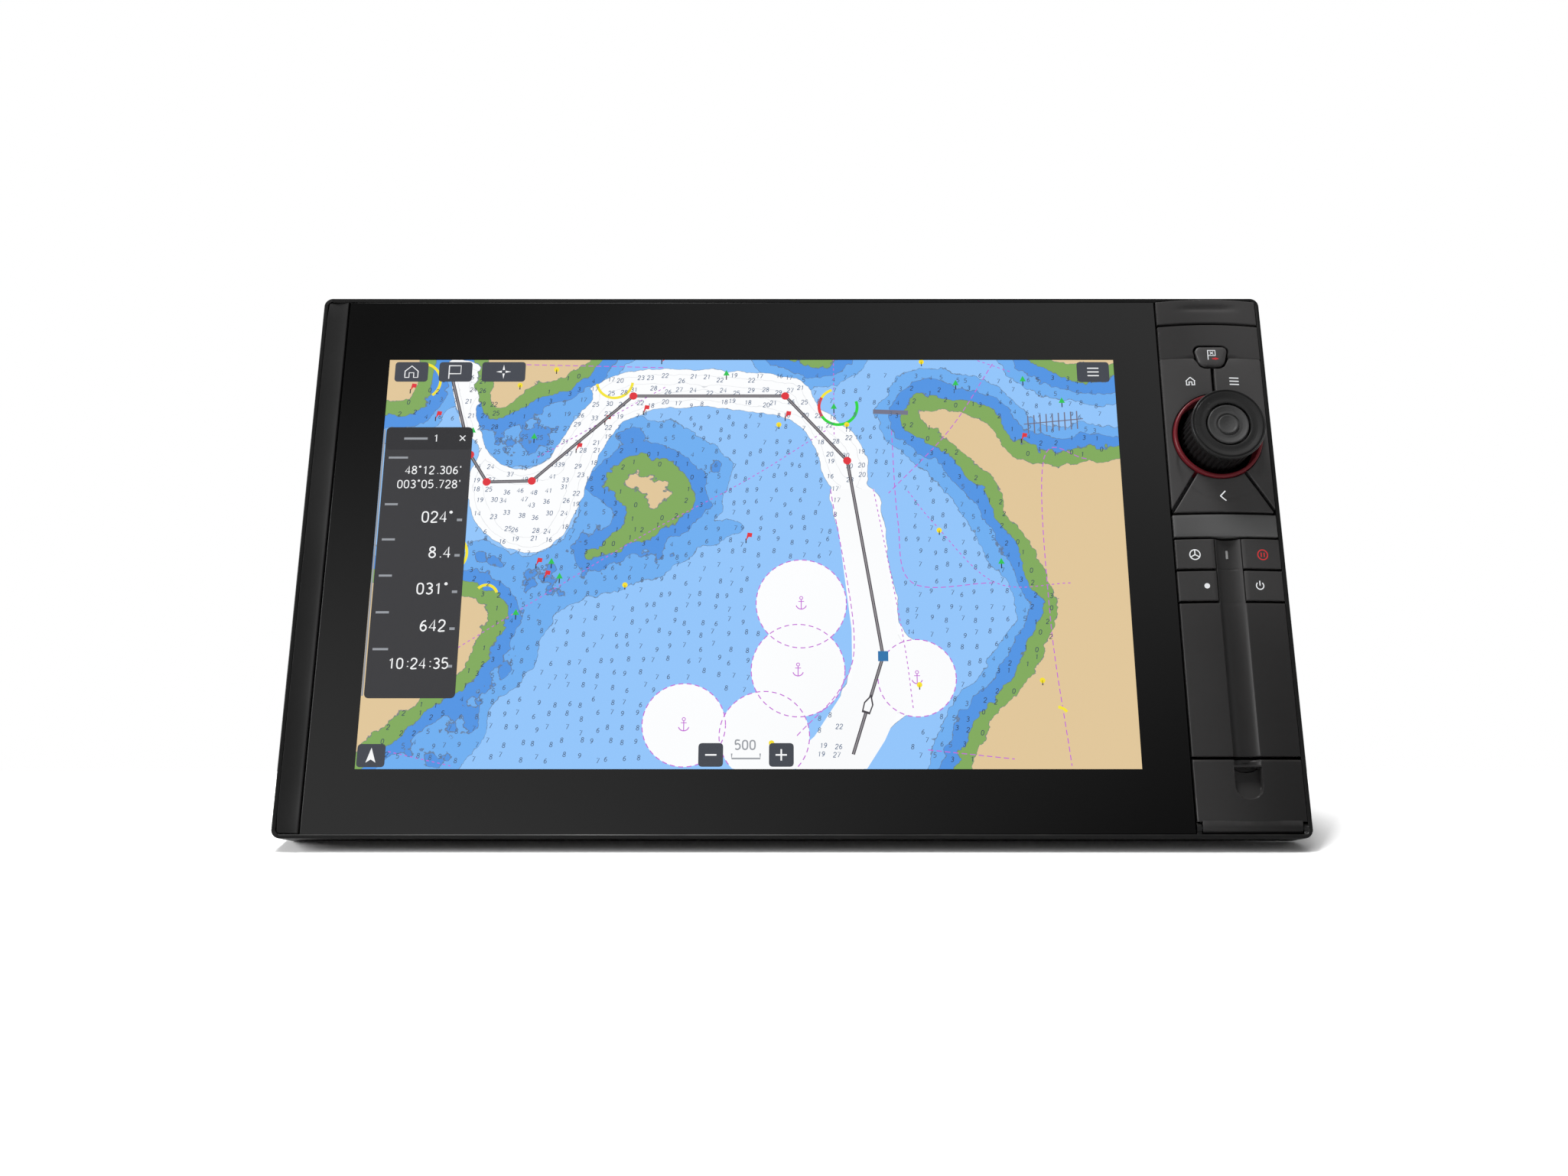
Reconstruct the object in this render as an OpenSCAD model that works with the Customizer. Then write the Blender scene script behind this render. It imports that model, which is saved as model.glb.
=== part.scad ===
// Flush-mounted chartplotter display: a wide touch screen with a column of keys,
// a tilting rotary knob and a small card door at its right.
// X runs along the width, Z up, and Y into the console. The seat plane, where the
// panel gasket meets the console, is y = 0, and the four corner holes are centred
// on the origin. The front faces -Y.

/* [Display] */
// Width of the lit picture
screen_w = 345.6; // [240:0.1:460]
// Height of the lit picture
screen_h = 194.4; // [150:0.1:280]
// Glass border left and right of the picture
border_side = 21.5; // [14:0.1:40]
// Glass border above the picture
border_top = 30.25; // [22:0.05:50]
// Glass border below the picture
border_bottom = 27.85; // [22:0.05:50]
// Thickness of the cover glass
glass_t = 2.8; // [1.8:0.1:4]
// Thickness of the printed border and its bonding tape
mask_t = 0.7; // [0.4:0.1:1.2]
// Thickness of the clear gel between the glass and the liquid crystal cell
bond_t = 1.1; // [0.8:0.1:2]
// Thickness of the liquid crystal cell
cell_t = 1.8; // [1:0.1:3]
// How far the liquid crystal cell reaches past the picture
cell_border = 4.8; // [2:0.1:6]
// Thickness of the backlight unit
backlight_t = 8; // [5:0.5:12]
// How far the backlight unit reaches past the picture
backlight_border = 8.4; // [6:0.1:11]

/* [Bezel] */
// Depth of the bezel in front of its gasket
bezel_t = 18; // [16:0.5:24]
// Thickness of the panel gasket
gasket_t = 2; // [1:0.5:4]
// Radius of the bezel's four outer corners
corner_r = 4; // [2:0.5:8]
// Width of the lip that frames the front
lip_w = 1.8; // [1.4:0.1:3]
// Thickness of the bezel's rear skirt
skirt_t = 3.5; // [2.5:0.1:5]
// Thickness of the web behind the trim and the key column
web_t = 2.5; // [2:0.1:3]
// Depth of the pockets that hold the trim and the key column
pocket_d = 7; // [6.5:0.1:8]
// Width of the left trim strip
trim_w = 9.8; // [8.4:0.1:14]
// Hollow of the trim strip's front face
trim_hollow = 0.8; // [0.3:0.1:1.2]

/* [Key column] */
// Width of the key column
col_w = 48; // [44:0.5:60]
// Rise of the crowned front at the top of the column
crown_top = 2.7; // [1:0.1:3.5]
// Rise of the crowned front at the bottom of the column
crown_bottom = 0.3; // [0.2:0.1:1]
// Height of the top cap
cap_h = 12; // [11.5:0.1:16]
// Height of the area with the knob and its keys
pad_h = 93.4; // [88:0.1:115]
// Height of the blank name plate
plate_h = 10.5; // [6:0.1:14]
// Height of each of the two rows of small keys
row_h = 13.8; // [11:0.1:18]
// Dark seam between the pieces of the column
seam = 1.3; // [0.8:0.1:2]
// Width of the finger channel down the column
channel_w = 12; // [10:0.1:14]
// Depth of the finger channel
channel_d = 3; // [1.5:0.1:3.5]
// Height of the home and menu keys' top edge below the top of the knob area
shoulder_h = 16.5; // [14:0.1:20]
// Width of the waypoint key at its top
waypoint_w = 15; // [12:0.1:18]
// Height of the waypoint key
waypoint_h = 11.5; // [9:0.1:14]
// Height from the top of the knob area to the middle of the waypoint key
waypoint_drop = 15.5; // [14:0.1:18]
// How far the waypoint key stands above the crowned front
waypoint_lift = 0.9; // [0:0.1:1.5]
// Travel of a key
key_travel = 0.8; // [0.3:0.1:0.8]

/* [Knob] */
// Height of the knob's axis above the bottom of the knob area
knob_rise = 37.15; // [34:0.05:50]
// Radius of the knob's top
knob_r = 17; // [14:0.1:17.2]
// Radius of the knob's ribbed grip
grip_r = 16.3; // [13:0.1:16.6]
// Height of the knob above the front of the bezel
knob_h = 17.9; // [14:0.1:22]
// Radius of the disc in the middle of the knob's top
dish_r = 9.8; // [8:0.1:11]
// Outer radius of the light ring round the knob
ring_r = 20.75; // [19.5:0.05:22]
// Radial width of the light ring
ring_w = 1.65; // [1:0.05:2]
// Height of the light ring above the front of the bezel
ring_h = 2.7; // [1:0.1:3]
// Radius of the knob's shaft
shaft_r = 3; // [2.5:0.1:3.5]
// Number of ribs round the grip
rib_count = 40; // [24:1:48]

/* [Card door] */
// Height of the card door
door_h = 32.05; // [31:0.05:40]
// Thickness of the door's plate
door_t = 2.2; // [1.8:0.1:2.4]
// Offset of the card sockets from the middle of the column
card_dx = -9; // [-9.5:0.5:-8.5]
// Radius of the door's hinge barrel
barrel_r = 2.4; // [2.2:0.1:2.8]
// Radius of the hinge pin
pin_r = 0.9; // [0.7:0.05:1]
// Width of the well that holds the card sockets
well_w = 23; // [22:0.5:23.5]
// Height of the well that holds the card sockets
well_h = 17; // [15:0.5:18]
// Depth of the well behind the pocket's floor
well_d = 4; // [3.5:0.1:4.5]

/* [Rear housing] */
// Distance from the bezel's side to the housing's side
house_margin_x = 14; // [14:0.1:20]
// Distance from the bezel's top to the housing's top
house_margin_z = 18.25; // [18:0.05:26]
// Depth of the housing behind the seat plane
house_d = 48; // [44:0.5:80]
// Radius of the housing's upright corners
house_r = 8; // [6:0.5:9]
// Thickness of the housing's side walls
wall_t = 3; // [2.5:0.1:4]
// Thickness of the housing's rear wall
back_t = 3.5; // [3:0.1:5]
// Thickness of the housing's front flange
flange_t = 3; // [2.8:0.1:4]
// Height of the cooling fins
fin_h = 9; // [4:0.5:14]
// Thickness of a cooling fin
fin_t = 2.4; // [1.5:0.1:4]
// Number of cooling fins
fin_count = 31; // [15:2:41]
// Distance between the cooling fins
fin_pitch = 11; // [8:0.5:12]
// Height of the row of connectors above the housing's bottom
connector_rise = 26; // [22:0.5:30]
// Distance between the connectors
connector_pitch = 36; // [32:0.5:38]
// Length of a connector outside the housing
connector_l = 14; // [10:0.5:20]

/* [Boards] */
// Width of the main board
main_w = 210; // [160:1:220]
// Height of the main board
main_h = 118; // [90:1:122]
// Width of the power board
power_w = 92; // [60:1:100]
// Height of the power board
power_h = 90; // [60:1:110]
// Width of the connector board
link_w = 330; // [310:1:340]
// Height of the connector board
link_h = 40; // [34:1:44]
// Thickness of every circuit board
board_t = 1.6; // [1:0.1:2]
// Clear height between the rear wall and the main and power boards
pillar_h = 6; // [5:0.1:9]

/* [Fits and fasteners] */
// Radius of the four mounting holes
mount_r = 2.3; // [2.1:0.05:2.5]
// Radius of the recess for a mounting screw's head
mount_head_r = 4.2; // [3.9:0.05:4.4]
// Distance of a mounting hole from the bezel's side
mount_in_x = 7.5; // [7.3:0.1:8]
// Distance of a mounting hole from the bezel's top or bottom
mount_in_z = 8.75; // [8:0.05:9.5]
// Narrow gap between a front piece and the frame round it
fit_gap = 0.2; // [0.1:0.05:0.4]
// Gap between the glass and the pieces beside it
reveal = 0.8; // [0.5:0.1:1.2]
// Radial clearance of pins, shafts and stems that move
running = 0.05; // [0.02:0.01:0.1]
// Radius of a screw's shank
screw_r = 1.25; // [1:0.05:1.5]
// Radius of a screw's head
screw_head_r = 2.6; // [2.2:0.05:2.8]
// Height of a screw's head
screw_head_t = 1.6; // [1.2:0.1:1.8]

/* [Hidden] */
$fn = 64;

// Widths, from the left edge to the right edge
glass_w = screen_w + 2 * border_side;
glass_h = screen_h + border_top + border_bottom;
body_w = glass_w + trim_w + col_w + 2 * (reveal + fit_gap + lip_w);
body_h = glass_h + 2 * (fit_gap + lip_w);
inner_w = body_w - 2 * lip_w;
inner_h = body_h - 2 * lip_w;
trim_x0 = -inner_w / 2 + fit_gap;
trim_x1 = trim_x0 + trim_w;
glass_x0 = trim_x1 + reveal;
glass_x1 = glass_x0 + glass_w;
glass_cx = (glass_x0 + glass_x1) / 2;
col_x0 = glass_x1 + reveal;
col_x1 = col_x0 + col_w;
col_cx = (col_x0 + col_x1) / 2;
screen_cz = (border_bottom - border_top) / 2;

// Heights down the column
z_top = glass_h / 2;
cap_z0 = z_top - cap_h;
pad_z1 = cap_z0 - seam;
pad_z0 = pad_z1 - pad_h;
plate_z1 = pad_z0 - seam;
plate_z0 = plate_z1 - plate_h;
row_z1 = [plate_z0 - seam, plate_z0 - 2 * seam - row_h];
row_z0 = [row_z1[0] - row_h, row_z1[1] - row_h];
fascia_z1 = row_z0[1] - seam;
door_z1 = door_h - z_top;
fascia_z0 = door_z1 + seam;
shoulder_z = pad_z1 - shoulder_h;
waypoint_z = pad_z1 - waypoint_drop;
knob_z = pad_z0 + knob_rise;

// Depths, from the front to the rear
face_y = -gasket_t - bezel_t;
glass_y = face_y + 0.1;
glass_back = glass_y + glass_t;
ledge_y = glass_back + mask_t;
bond_back = glass_back + bond_t;
cell_back = bond_back + cell_t;
backlight_back = cell_back + backlight_t;
floor_y = face_y + pocket_d;
web_y = floor_y + web_t;
flange_y = -gasket_t - flange_t;
chassis_t = 2;
keypad_board_y = flange_y - 0.3 - board_t;
key_back = floor_y - 2;
keymat_t = 0.8;
stem_r = 1.5;
stem_end = web_y + 0.6;
stem_dx = 8.5;

// The window in the bezel and the bosses beside it
window_clear = 1;
window_w = screen_w + 2 * (backlight_border + window_clear);
window_h = screen_h + 2 * (backlight_border + window_clear);
boss_r = 3.2;
boss_out = 4;
chassis_x = [glass_cx - window_w / 2 - boss_out, glass_cx + window_w / 2 + boss_out];
chassis_z = [for (k = [-1, 0, 1]) screen_cz + k * (screen_h / 2 - 17)];

// The rear housing
house_w = body_w - 2 * house_margin_x;
house_h = body_h - 2 * house_margin_z;
cavity_w = house_w - 2 * wall_t;
cavity_h = house_h - 2 * wall_t;
cavity_r = house_r - wall_t;
back_in = house_d - back_t;
seal_in = 0.25;
seal_w = 2.5;
seal_t = 1.5;

// Boards on the rear wall, given by their low corner
main_y = back_in - pillar_h - board_t;
main_x0 = -cavity_w / 2 + 12;
main_z0 = cavity_h / 2 - 8 - main_h;
power_x0 = cavity_w / 2 - 14 - power_w;
power_z0 = cavity_h / 2 - 10 - power_h;
link_y = back_in - 13.5;
link_z0 = -cavity_h / 2 + 3;
pad_t = 1;
chip_t = 2;
ribbon_x0 = main_x0 + main_w - 62.1;

// Fasteners
mount_x = body_w / 2 - mount_in_x;
mount_z = body_h / 2 - mount_in_z;
case_x = body_w / 2 - skirt_t - 3.3;
case_z = body_h / 2 - skirt_t - 5.95;
case_side_z = [for (k = [-1, 0, 1]) k * (body_h / 2 - 68)];
case_top_x = [for (k = [-1.5:1:1.5]) k * (body_w / 2 - 126)];
screw_l = 7;

// The keypad board
board_x0 = col_x0 - 3.5;
board_x1 = house_w / 2 - 0.8;
board_z1 = pad_z1 - 11;
board_z0 = row_z0[1] - 5;
board_edge = 3.5;

// The card door, its well and its sockets
hinge_z = -inner_h / 2 + 0.35 + barrel_r;
hinge_y = face_y + barrel_r;
hinge_lug = 2;
card_cx = col_cx + card_dx;
card_board_w = well_w + 1;
well_z1 = door_z1 - 3.8;
well_z0 = well_z1 - well_h;
well_floor = floor_y + well_d;
well_wall = 2.5;
bead_w = 2.2;
bead_out = 0.5;
socket_w = 15;
socket_h = 2.8;
socket_l = 15;
card_board_z = -cavity_h / 2 + 4;
socket_y = well_floor - 0.2;

// The tilting knob
pivot_y = web_y + 1;
base_r = 11.2;
base_in = 9.2;
gimbal_r = 8.8;
gimbal_in = 6.2;
hub_r = 5.7;
gimbal_t = 3.4;
trunnion_r = 1.1;
knob_top = face_y - knob_h;
knob_bottom = floor_y - 4;
cap_t = 3.6;
ring_cut = ring_r + 0.3;
core_r = 13;

// ---------- helpers ----------

// A flat outline in X and Z, made solid from y0 back to y1
module slab(y0, y1) {
    translate([0, y1, 0]) rotate([90, 0, 0]) linear_extrude(y1 - y0) children();
}

// A round bar along Y
module rod(x, z, r, y0, y1) {
    translate([x, y1, z]) rotate([90, 0, 0]) cylinder(h = y1 - y0, r = r);
}

// A straight-sided block between two corners
module block(x0, x1, y0, y1, z0, z1) {
    translate([x0, y0, z0]) cube([x1 - x0, y1 - y0, z1 - z0]);
}

// A rectangle outline between two corners
module rect(x0, x1, z0, z1) {
    translate([x0, z0]) square([x1 - x0, z1 - z0]);
}

// A centred rectangle with round corners
module rounded(w, h, r) {
    square([w - 2 * r, h], center = true);
    square([w, h - 2 * r], center = true);
    for (x = [-1, 1], z = [-1, 1])
        translate([x * (w / 2 - r), z * (h / 2 - r)]) circle(r = r);
}

// A profile of radius and depth, turned about the knob's axis
module turned(points) {
    translate([col_cx, 0, knob_z]) rotate([90, 0, 0]) rotate_extrude()
        polygon([for (p = points) [p[0], -p[1]]]);
}

// The crowned front rises most at the top of the column
function crown(z) = crown_bottom + (crown_top - crown_bottom) * (z + z_top) / (2 * z_top);
function crown_radius(s) = (col_w * col_w / 4 + s * s) / (2 * s);

// A piece of the column: its outline, with a crowned front, back to depth y1
module crowned(z_mid, y1, lift = 0) {
    s = crown(z_mid);
    r = crown_radius(s);
    intersection() {
        slab(face_y - crown_top - lift - 1, y1) children();
        translate([col_cx, face_y - s - lift + r, -z_top - 1]) cylinder(h = 2 * z_top + 2, r = r, $fn = 720);
    }
}

// The finger channel's hollow between two heights, at the crown of height z_mid
channel_r = (channel_w * channel_w / 4 + channel_d * channel_d) / (2 * channel_d);
module channel(z0, z1, z_mid) {
    translate([col_cx, face_y - crown(z_mid) + channel_d - channel_r, z0]) cylinder(h = z1 - z0, r = channel_r);
}

// Points along an arc about a centre, from angle a0 to angle a1
arc_steps = 8;
function arc(x, z, r, a0, a1) = [
    for (k = [0:arc_steps]) let (a = a0 + (a1 - a0) * k / arc_steps) [x + r * cos(a), z + r * sin(a)]
];

// The outline of the waypoint key, grown by g all round: wider at its top, with larger lower corners
module waypoint_outline(g) {
    top_r = 2.2;
    low_r = 3.6;
    narrow = 1.6;
    top = [waypoint_w / 2 - top_r, waypoint_z + waypoint_h / 2 - top_r];
    low = [waypoint_w / 2 - narrow - low_r, waypoint_z - waypoint_h / 2 + low_r];
    run = top - low;
    lean = atan2(run[0], run[1]) + asin((top_r - low_r) / norm(run));
    right = concat(arc(top[0], top[1], top_r + g, 90, -lean), arc(low[0], low[1], low_r + g, -lean, -90));
    left = [for (i = [len(right) - 1:-1:0]) [-right[i][0], right[i][1]]];
    translate([col_cx, 0]) polygon(concat(right, left));
}

// The grooves between the home, menu and back keys
groove_w = 1.6;
module groove_to(x, z) {
    dx = x - col_cx;
    dz = z - knob_z;
    translate([col_cx, knob_z]) rotate(atan2(dz, dx))
        translate([0, -groove_w / 2]) square([sqrt(dx * dx + dz * dz) + 4, groove_w]);
}

module key_cuts() {
    translate([col_cx, knob_z]) circle(r = ring_cut);
    waypoint_outline(1);
    groove_to(col_cx, pad_z1);
    groove_to(col_x0, pad_z0);
    groove_to(col_x1, pad_z0);
}

// A key's stem, which ends inside the mouth of its switch
module stem(x, z) {
    rod(x, z, stem_r, key_back - 0.2, stem_end);
}

stems = [
    [col_cx, waypoint_z], [col_cx - stem_dx, shoulder_z - 14], [col_cx + stem_dx, shoulder_z - 14],
    [col_cx, pad_z0 + 8],
    [col_cx - stem_dx, row_z0[0] + row_h / 2], [col_cx + stem_dx, row_z0[0] + row_h / 2],
    [col_cx - stem_dx, row_z0[1] + row_h / 2], [col_cx + stem_dx, row_z0[1] + row_h / 2]
];

mounts = [for (x = [-1, 1], z = [-1, 1]) [x * mount_x, z * mount_z]];
case_holes = concat(
    [for (x = [-1, 1], z = case_side_z) [x * case_x, z]],
    [for (x = case_top_x, z = [-1, 1]) [x, z * case_z]]
);
chassis_holes = [for (x = chassis_x, z = chassis_z) [x, z]];
keypad_hole_x = [board_x0 + board_edge, cavity_w / 2 - board_edge];
keypad_hole_z = [board_z0 + board_edge, board_z1 - board_edge];
keypad_holes = [for (x = keypad_hole_x, z = keypad_hole_z) [x, z]];

// The holes near the four corners of a board with low corner x0, z0
function corner_holes(x0, z0, w, h) = [for (x = [x0 + 5, x0 + w - 5], z = [z0 + 5, z0 + h - 5]) [x, z]];
main_holes = corner_holes(main_x0, main_z0, main_w, main_h);
power_holes = corner_holes(power_x0, power_z0, power_w, power_h);
link_holes = [for (x = [-1, 1], z = [5, link_h - 5]) [x * (link_w / 2 - 5), link_z0 + z]];

// Connectors: place along the row, counted from the left, and barrel radius
power_plug = [[0, 9]];
bus_plugs = [[1, 6.5], [2, 6.5]];
network_plugs = [[3, 8], [4, 8], [5, 8]];
sonar_plugs = [[6, 11], [7, 11]];
plugs = concat(power_plug, bus_plugs, network_plugs, sonar_plugs);
function plug_x(i) = (i - 3.5) * connector_pitch;
plug_z = -house_h / 2 + connector_rise;
vent_x = house_w / 2 - 26;
vent_z = plug_z + 42;
vent_r = 4;
bracket_x = 150;
bracket_z = [house_h / 2 - 14, plug_z + 30];
bracket_r = 2.1;
bracket_boss = 6.5;
bracket_depth = 9;

// ---------- casing ----------

module front_bezel() {
    rib_out = seal_in + seal_w + 0.5;
    color("#26272a") difference() {
        union() {
            difference() {
                slab(face_y, -gasket_t) rounded(body_w, body_h, corner_r);
                slab(face_y - 1, ledge_y) rounded(inner_w, inner_h, corner_r - lip_w);
                slab(web_y, 1) rounded(body_w - 2 * skirt_t, body_h - 2 * skirt_t, 1);
                slab(ledge_y - 1, 0) translate([glass_cx, screen_cz]) rounded(window_w, window_h, 2);
                slab(ledge_y - 1, floor_y) rect(-inner_w / 2, trim_x1 + reveal / 2, -inner_h / 2, inner_h / 2);
                slab(ledge_y - 1, floor_y) rect(col_x0 - fit_gap, inner_w / 2, -inner_h / 2, inner_h / 2);
            }
            for (h = mounts) rod(h[0], h[1], mount_head_r + 1.8, floor_y, flange_y);
            for (h = case_holes) rod(h[0], h[1], boss_r, web_y - 1, flange_y);
            for (h = chassis_holes) rod(h[0], h[1], boss_r, web_y - 1, backlight_back);
            for (h = keypad_holes) rod(h[0], h[1], boss_r - 0.4, web_y - 1, keypad_board_y);
            slab(web_y - 1, flange_y - seal_t) difference() {
                rounded(house_w + 2 * rib_out, house_h + 2 * rib_out, house_r);
                rounded(house_w - 1, house_h - 1, house_r);
            }
            block(card_cx - well_w / 2 - well_wall, card_cx + well_w / 2 + well_wall,
                floor_y, well_floor + web_t, well_z0 - well_wall, well_z1 + well_wall);
            block(card_cx - card_board_w / 2, card_cx + card_board_w / 2, well_floor, -1,
                card_board_z - 3.3, card_board_z);
            for (x = [-1, 1]) hinge_lug_solid(x);
        }
        for (h = mounts) {
            rod(h[0], h[1], mount_r, floor_y - 1, 0);
            rod(h[0], h[1], mount_head_r, floor_y - 1, floor_y + 4);
        }
        for (h = concat(case_holes, chassis_holes, keypad_holes))
            rod(h[0], h[1], screw_r + running, web_y + 0.7, 0);
        for (h = stems) rod(h[0], h[1], stem_r + 2 * running, floor_y - 1, web_y + 1);
        rod(col_cx, knob_z, base_r + fit_gap, floor_y - 1, web_y + 1);
        block(card_cx - well_w / 2, card_cx + well_w / 2, floor_y - 1, well_floor, well_z0, well_z1);
        block(card_cx - socket_w / 2 - 0.8, card_cx + socket_w / 2 + 0.8, well_floor - 1, 0,
            card_board_z - 4, card_board_z + board_t + socket_h + 0.6);
        block(card_cx - card_board_w / 2 - 1, card_cx + card_board_w / 2 + 1, well_floor + web_t, 0,
            card_board_z - 0.05, card_board_z + board_t + 0.05);
        translate([col_x0 - 1, hinge_y, hinge_z]) rotate([0, 90, 0])
            cylinder(h = col_w + 1.4, r = pin_r + 0.02);
        block(col_cx - 6, col_cx + 6, floor_y - 1, 0, row_z0[0] + row_h / 2 - 3, row_z0[0] + row_h / 2 + 3);
    }
}

// The ear that holds one end of the hinge pin, at the left (-1) or right (1)
module hinge_lug_solid(side) {
    x = side < 0 ? col_x0 - fit_gap : inner_w / 2 - hinge_lug;
    translate([x, hinge_y, hinge_z]) rotate([0, 90, 0]) cylinder(h = hinge_lug, r = barrel_r);
    block(x, x + hinge_lug, hinge_y, floor_y + 0.5, -inner_h / 2 - 0.1, hinge_z + barrel_r);
    block(x, x + hinge_lug, hinge_y - barrel_r + 0.6, floor_y, -inner_h / 2 - 0.1, hinge_z);
}

module panel_gasket() {
    color("#1b1b1c") slab(-gasket_t, 0) difference() {
        rounded(body_w - 3, body_h - 3, corner_r);
        rounded(house_w + 1, house_h + 1, house_r + 0.5);
        for (h = mounts) translate(h) circle(r = mount_r);
    }
}

module housing_seal() {
    color("#3a3a3c") slab(flange_y - seal_t, flange_y) difference() {
        rounded(house_w + 2 * (seal_in + seal_w), house_h + 2 * (seal_in + seal_w), house_r);
        rounded(house_w + 2 * seal_in, house_h + 2 * seal_in, house_r);
    }
}

module rear_housing() {
    rim = 2 * (skirt_t + fit_gap);
    color("#303236") difference() {
        union() {
            slab(flange_y, -gasket_t) rounded(body_w - rim, body_h - rim, 1);
            slab(flange_y, house_d) rounded(house_w, house_h, house_r);
            for (x = [-1, 1], z = bracket_z) rod(x * bracket_x, z, bracket_boss, back_in, house_d + fin_h);
        }
        difference() {
            slab(flange_y - 1, back_in) rounded(cavity_w, cavity_h, cavity_r);
            for (h = concat(main_holes, power_holes)) rod(h[0], h[1], boss_r, back_in - pillar_h, back_in + 1);
            for (h = link_holes) rod(h[0], h[1], boss_r, link_y + board_t, back_in + 1);
            block(chip_x - 22, chip_x + 22, back_in - pillar_h + chip_t + pad_t, back_in + 1,
                chip_z - 22, chip_z + 22);
        }
        for (h = mounts) rod(h[0], h[1], mount_r, flange_y - 1, 0);
        for (h = case_holes) {
            rod(h[0], h[1], screw_r + running, flange_y - 1, 0);
            rod(h[0], h[1], screw_head_r + 0.3, -gasket_t - screw_head_t - 0.2, 0);
        }
        for (h = concat(main_holes, power_holes)) rod(h[0], h[1], screw_r + running, 0, back_in);
        for (h = link_holes) rod(h[0], h[1], screw_r + running, 0, back_in);
        for (p = plugs) rod(plug_x(p[0]), plug_z, p[1] - 1 + running, back_in - 1, house_d + 1);
        rod(vent_x, vent_z, vent_r + running, back_in - 1, house_d + 1);
        for (x = [-1, 1], z = bracket_z)
            rod(x * bracket_x, z, bracket_r, house_d + fin_h - bracket_depth, house_d + fin_h + 1);
    }
}

// Upright fins on the rear wall, cut away round the bracket bosses
module cooling_fins() {
    clear = bracket_boss + 2;
    color("#303236") difference() {
        for (i = [0:fin_count - 1]) {
            x = (i - (fin_count - 1) / 2) * fin_pitch;
            block(x - fin_t / 2, x + fin_t / 2, house_d, house_d + fin_h,
                bracket_z[1] - clear, bracket_z[0] + 6);
        }
        for (x = [-1, 1], z = bracket_z)
            block(x * bracket_x - clear, x * bracket_x + clear, house_d - 1, house_d + fin_h + 1,
                z - clear, z + clear);
    }
}

module case_screws() {
    y = -gasket_t - 0.2;
    color("silver") for (h = case_holes) difference() {
        union() {
            rod(h[0], h[1], screw_head_r, y - screw_head_t, y);
            rod(h[0], h[1], screw_r, y - screw_head_t - 5.5, y - screw_head_t);
        }
        slab(y - 0.9, y + 1) translate(h) circle(r = 1.2, $fn = 6);
    }
}

// ---------- display ----------

module cover_glass() {
    color("#101113") slab(glass_y, glass_back) translate([glass_cx, 0]) rounded(glass_w, glass_h, 0.6);
}

module glass_mask() {
    color("#08080a") slab(glass_back, ledge_y) difference() {
        translate([glass_cx, 0]) rounded(glass_w - 1.6, glass_h - 1.6, 0.6);
        translate([glass_cx, screen_cz]) square([screen_w, screen_h], center = true);
    }
}

module optical_bond() {
    color("#cfd6da") slab(glass_back, bond_back) translate([glass_cx, screen_cz])
        square([screen_w - 2 * fit_gap, screen_h - 2 * fit_gap], center = true);
}

module lcd_cell() {
    color("#5d8fb8") slab(bond_back, cell_back) translate([glass_cx, screen_cz])
        square([screen_w + 2 * cell_border, screen_h + 2 * cell_border], center = true);
}

module backlight_unit() {
    color("#b9bcc0") difference() {
        slab(cell_back, backlight_back) translate([glass_cx, screen_cz])
            rounded(screen_w + 2 * backlight_border, screen_h + 2 * backlight_border, 1.5);
        slab(backlight_back - 0.8, backlight_back + 1) translate([glass_cx, screen_cz])
            rounded(screen_w - 30, screen_h - 30, 4);
    }
}

module chassis_plate() {
    slot_z = screen_cz - screen_h / 2 + 20;
    color("#8f9398") difference() {
        slab(backlight_back, backlight_back + chassis_t) intersection() {
            rounded(cavity_w - 2, cavity_h - 2, cavity_r);
            rect(-cavity_w / 2, chassis_x[1] + boss_r + 0.6, -cavity_h, cavity_h);
        }
        for (h = chassis_holes)
            rod(h[0], h[1], screw_r + running, backlight_back - 1, backlight_back + chassis_t + 1);
        slab(backlight_back - 1, 0) rect(ribbon_x0 - 20, ribbon_x0 + 50, slot_z - 4, slot_z + 4);
    }
}

// ---------- trims ----------

// The outline that fits inside the lip, with its round corners
module recess_outline() {
    rounded(inner_w - 2 * fit_gap, glass_h, corner_r - lip_w);
}

module left_trim() {
    mid = (trim_x0 + trim_x1) / 2;
    r = (trim_w * trim_w / 4 + trim_hollow * trim_hollow) / (2 * trim_hollow);
    leg = 1.2;
    end = z_top - 0.1;
    color("#232427") difference() {
        slab(face_y, floor_y - 0.3) intersection() {
            rect(trim_x0, trim_x1, -end, end);
            recess_outline();
        }
        slab(face_y + 2.4, 1) rect(trim_x0 + leg, trim_x1 - leg, -end + leg, end - leg);
        translate([mid, face_y + trim_hollow - r, -end - 1]) cylinder(h = 2 * end + 2, r = r, $fn = 180);
    }
}

module top_cap() {
    dimple_r = 60;
    color("#2b2c30") difference() {
        crowned((cap_z0 + z_top) / 2, floor_y - 0.3) intersection() {
            rect(col_x0 + fit_gap, col_x1, cap_z0, z_top);
            recess_outline();
        }
        slab(face_y + 2.4, 1) rect(col_x0 + 1.6, col_x1 - 1.4, cap_z0 + 1.4, z_top - 1.4);
        translate([col_cx - 14, face_y - crown_top - dimple_r + 0.9, z_top - 4.2])
            rotate([0, 90, 0]) intersection() {
                cylinder(h = 28, r = dimple_r, $fn = 360);
                translate([0, dimple_r, 14]) rotate([90, 0, 0]) cylinder(h = 4, r = 14);
                translate([-1.6, dimple_r - 3, 0]) cube([3.2, 6, 28]);
            }
    }
}

// ---------- key column ----------

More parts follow.
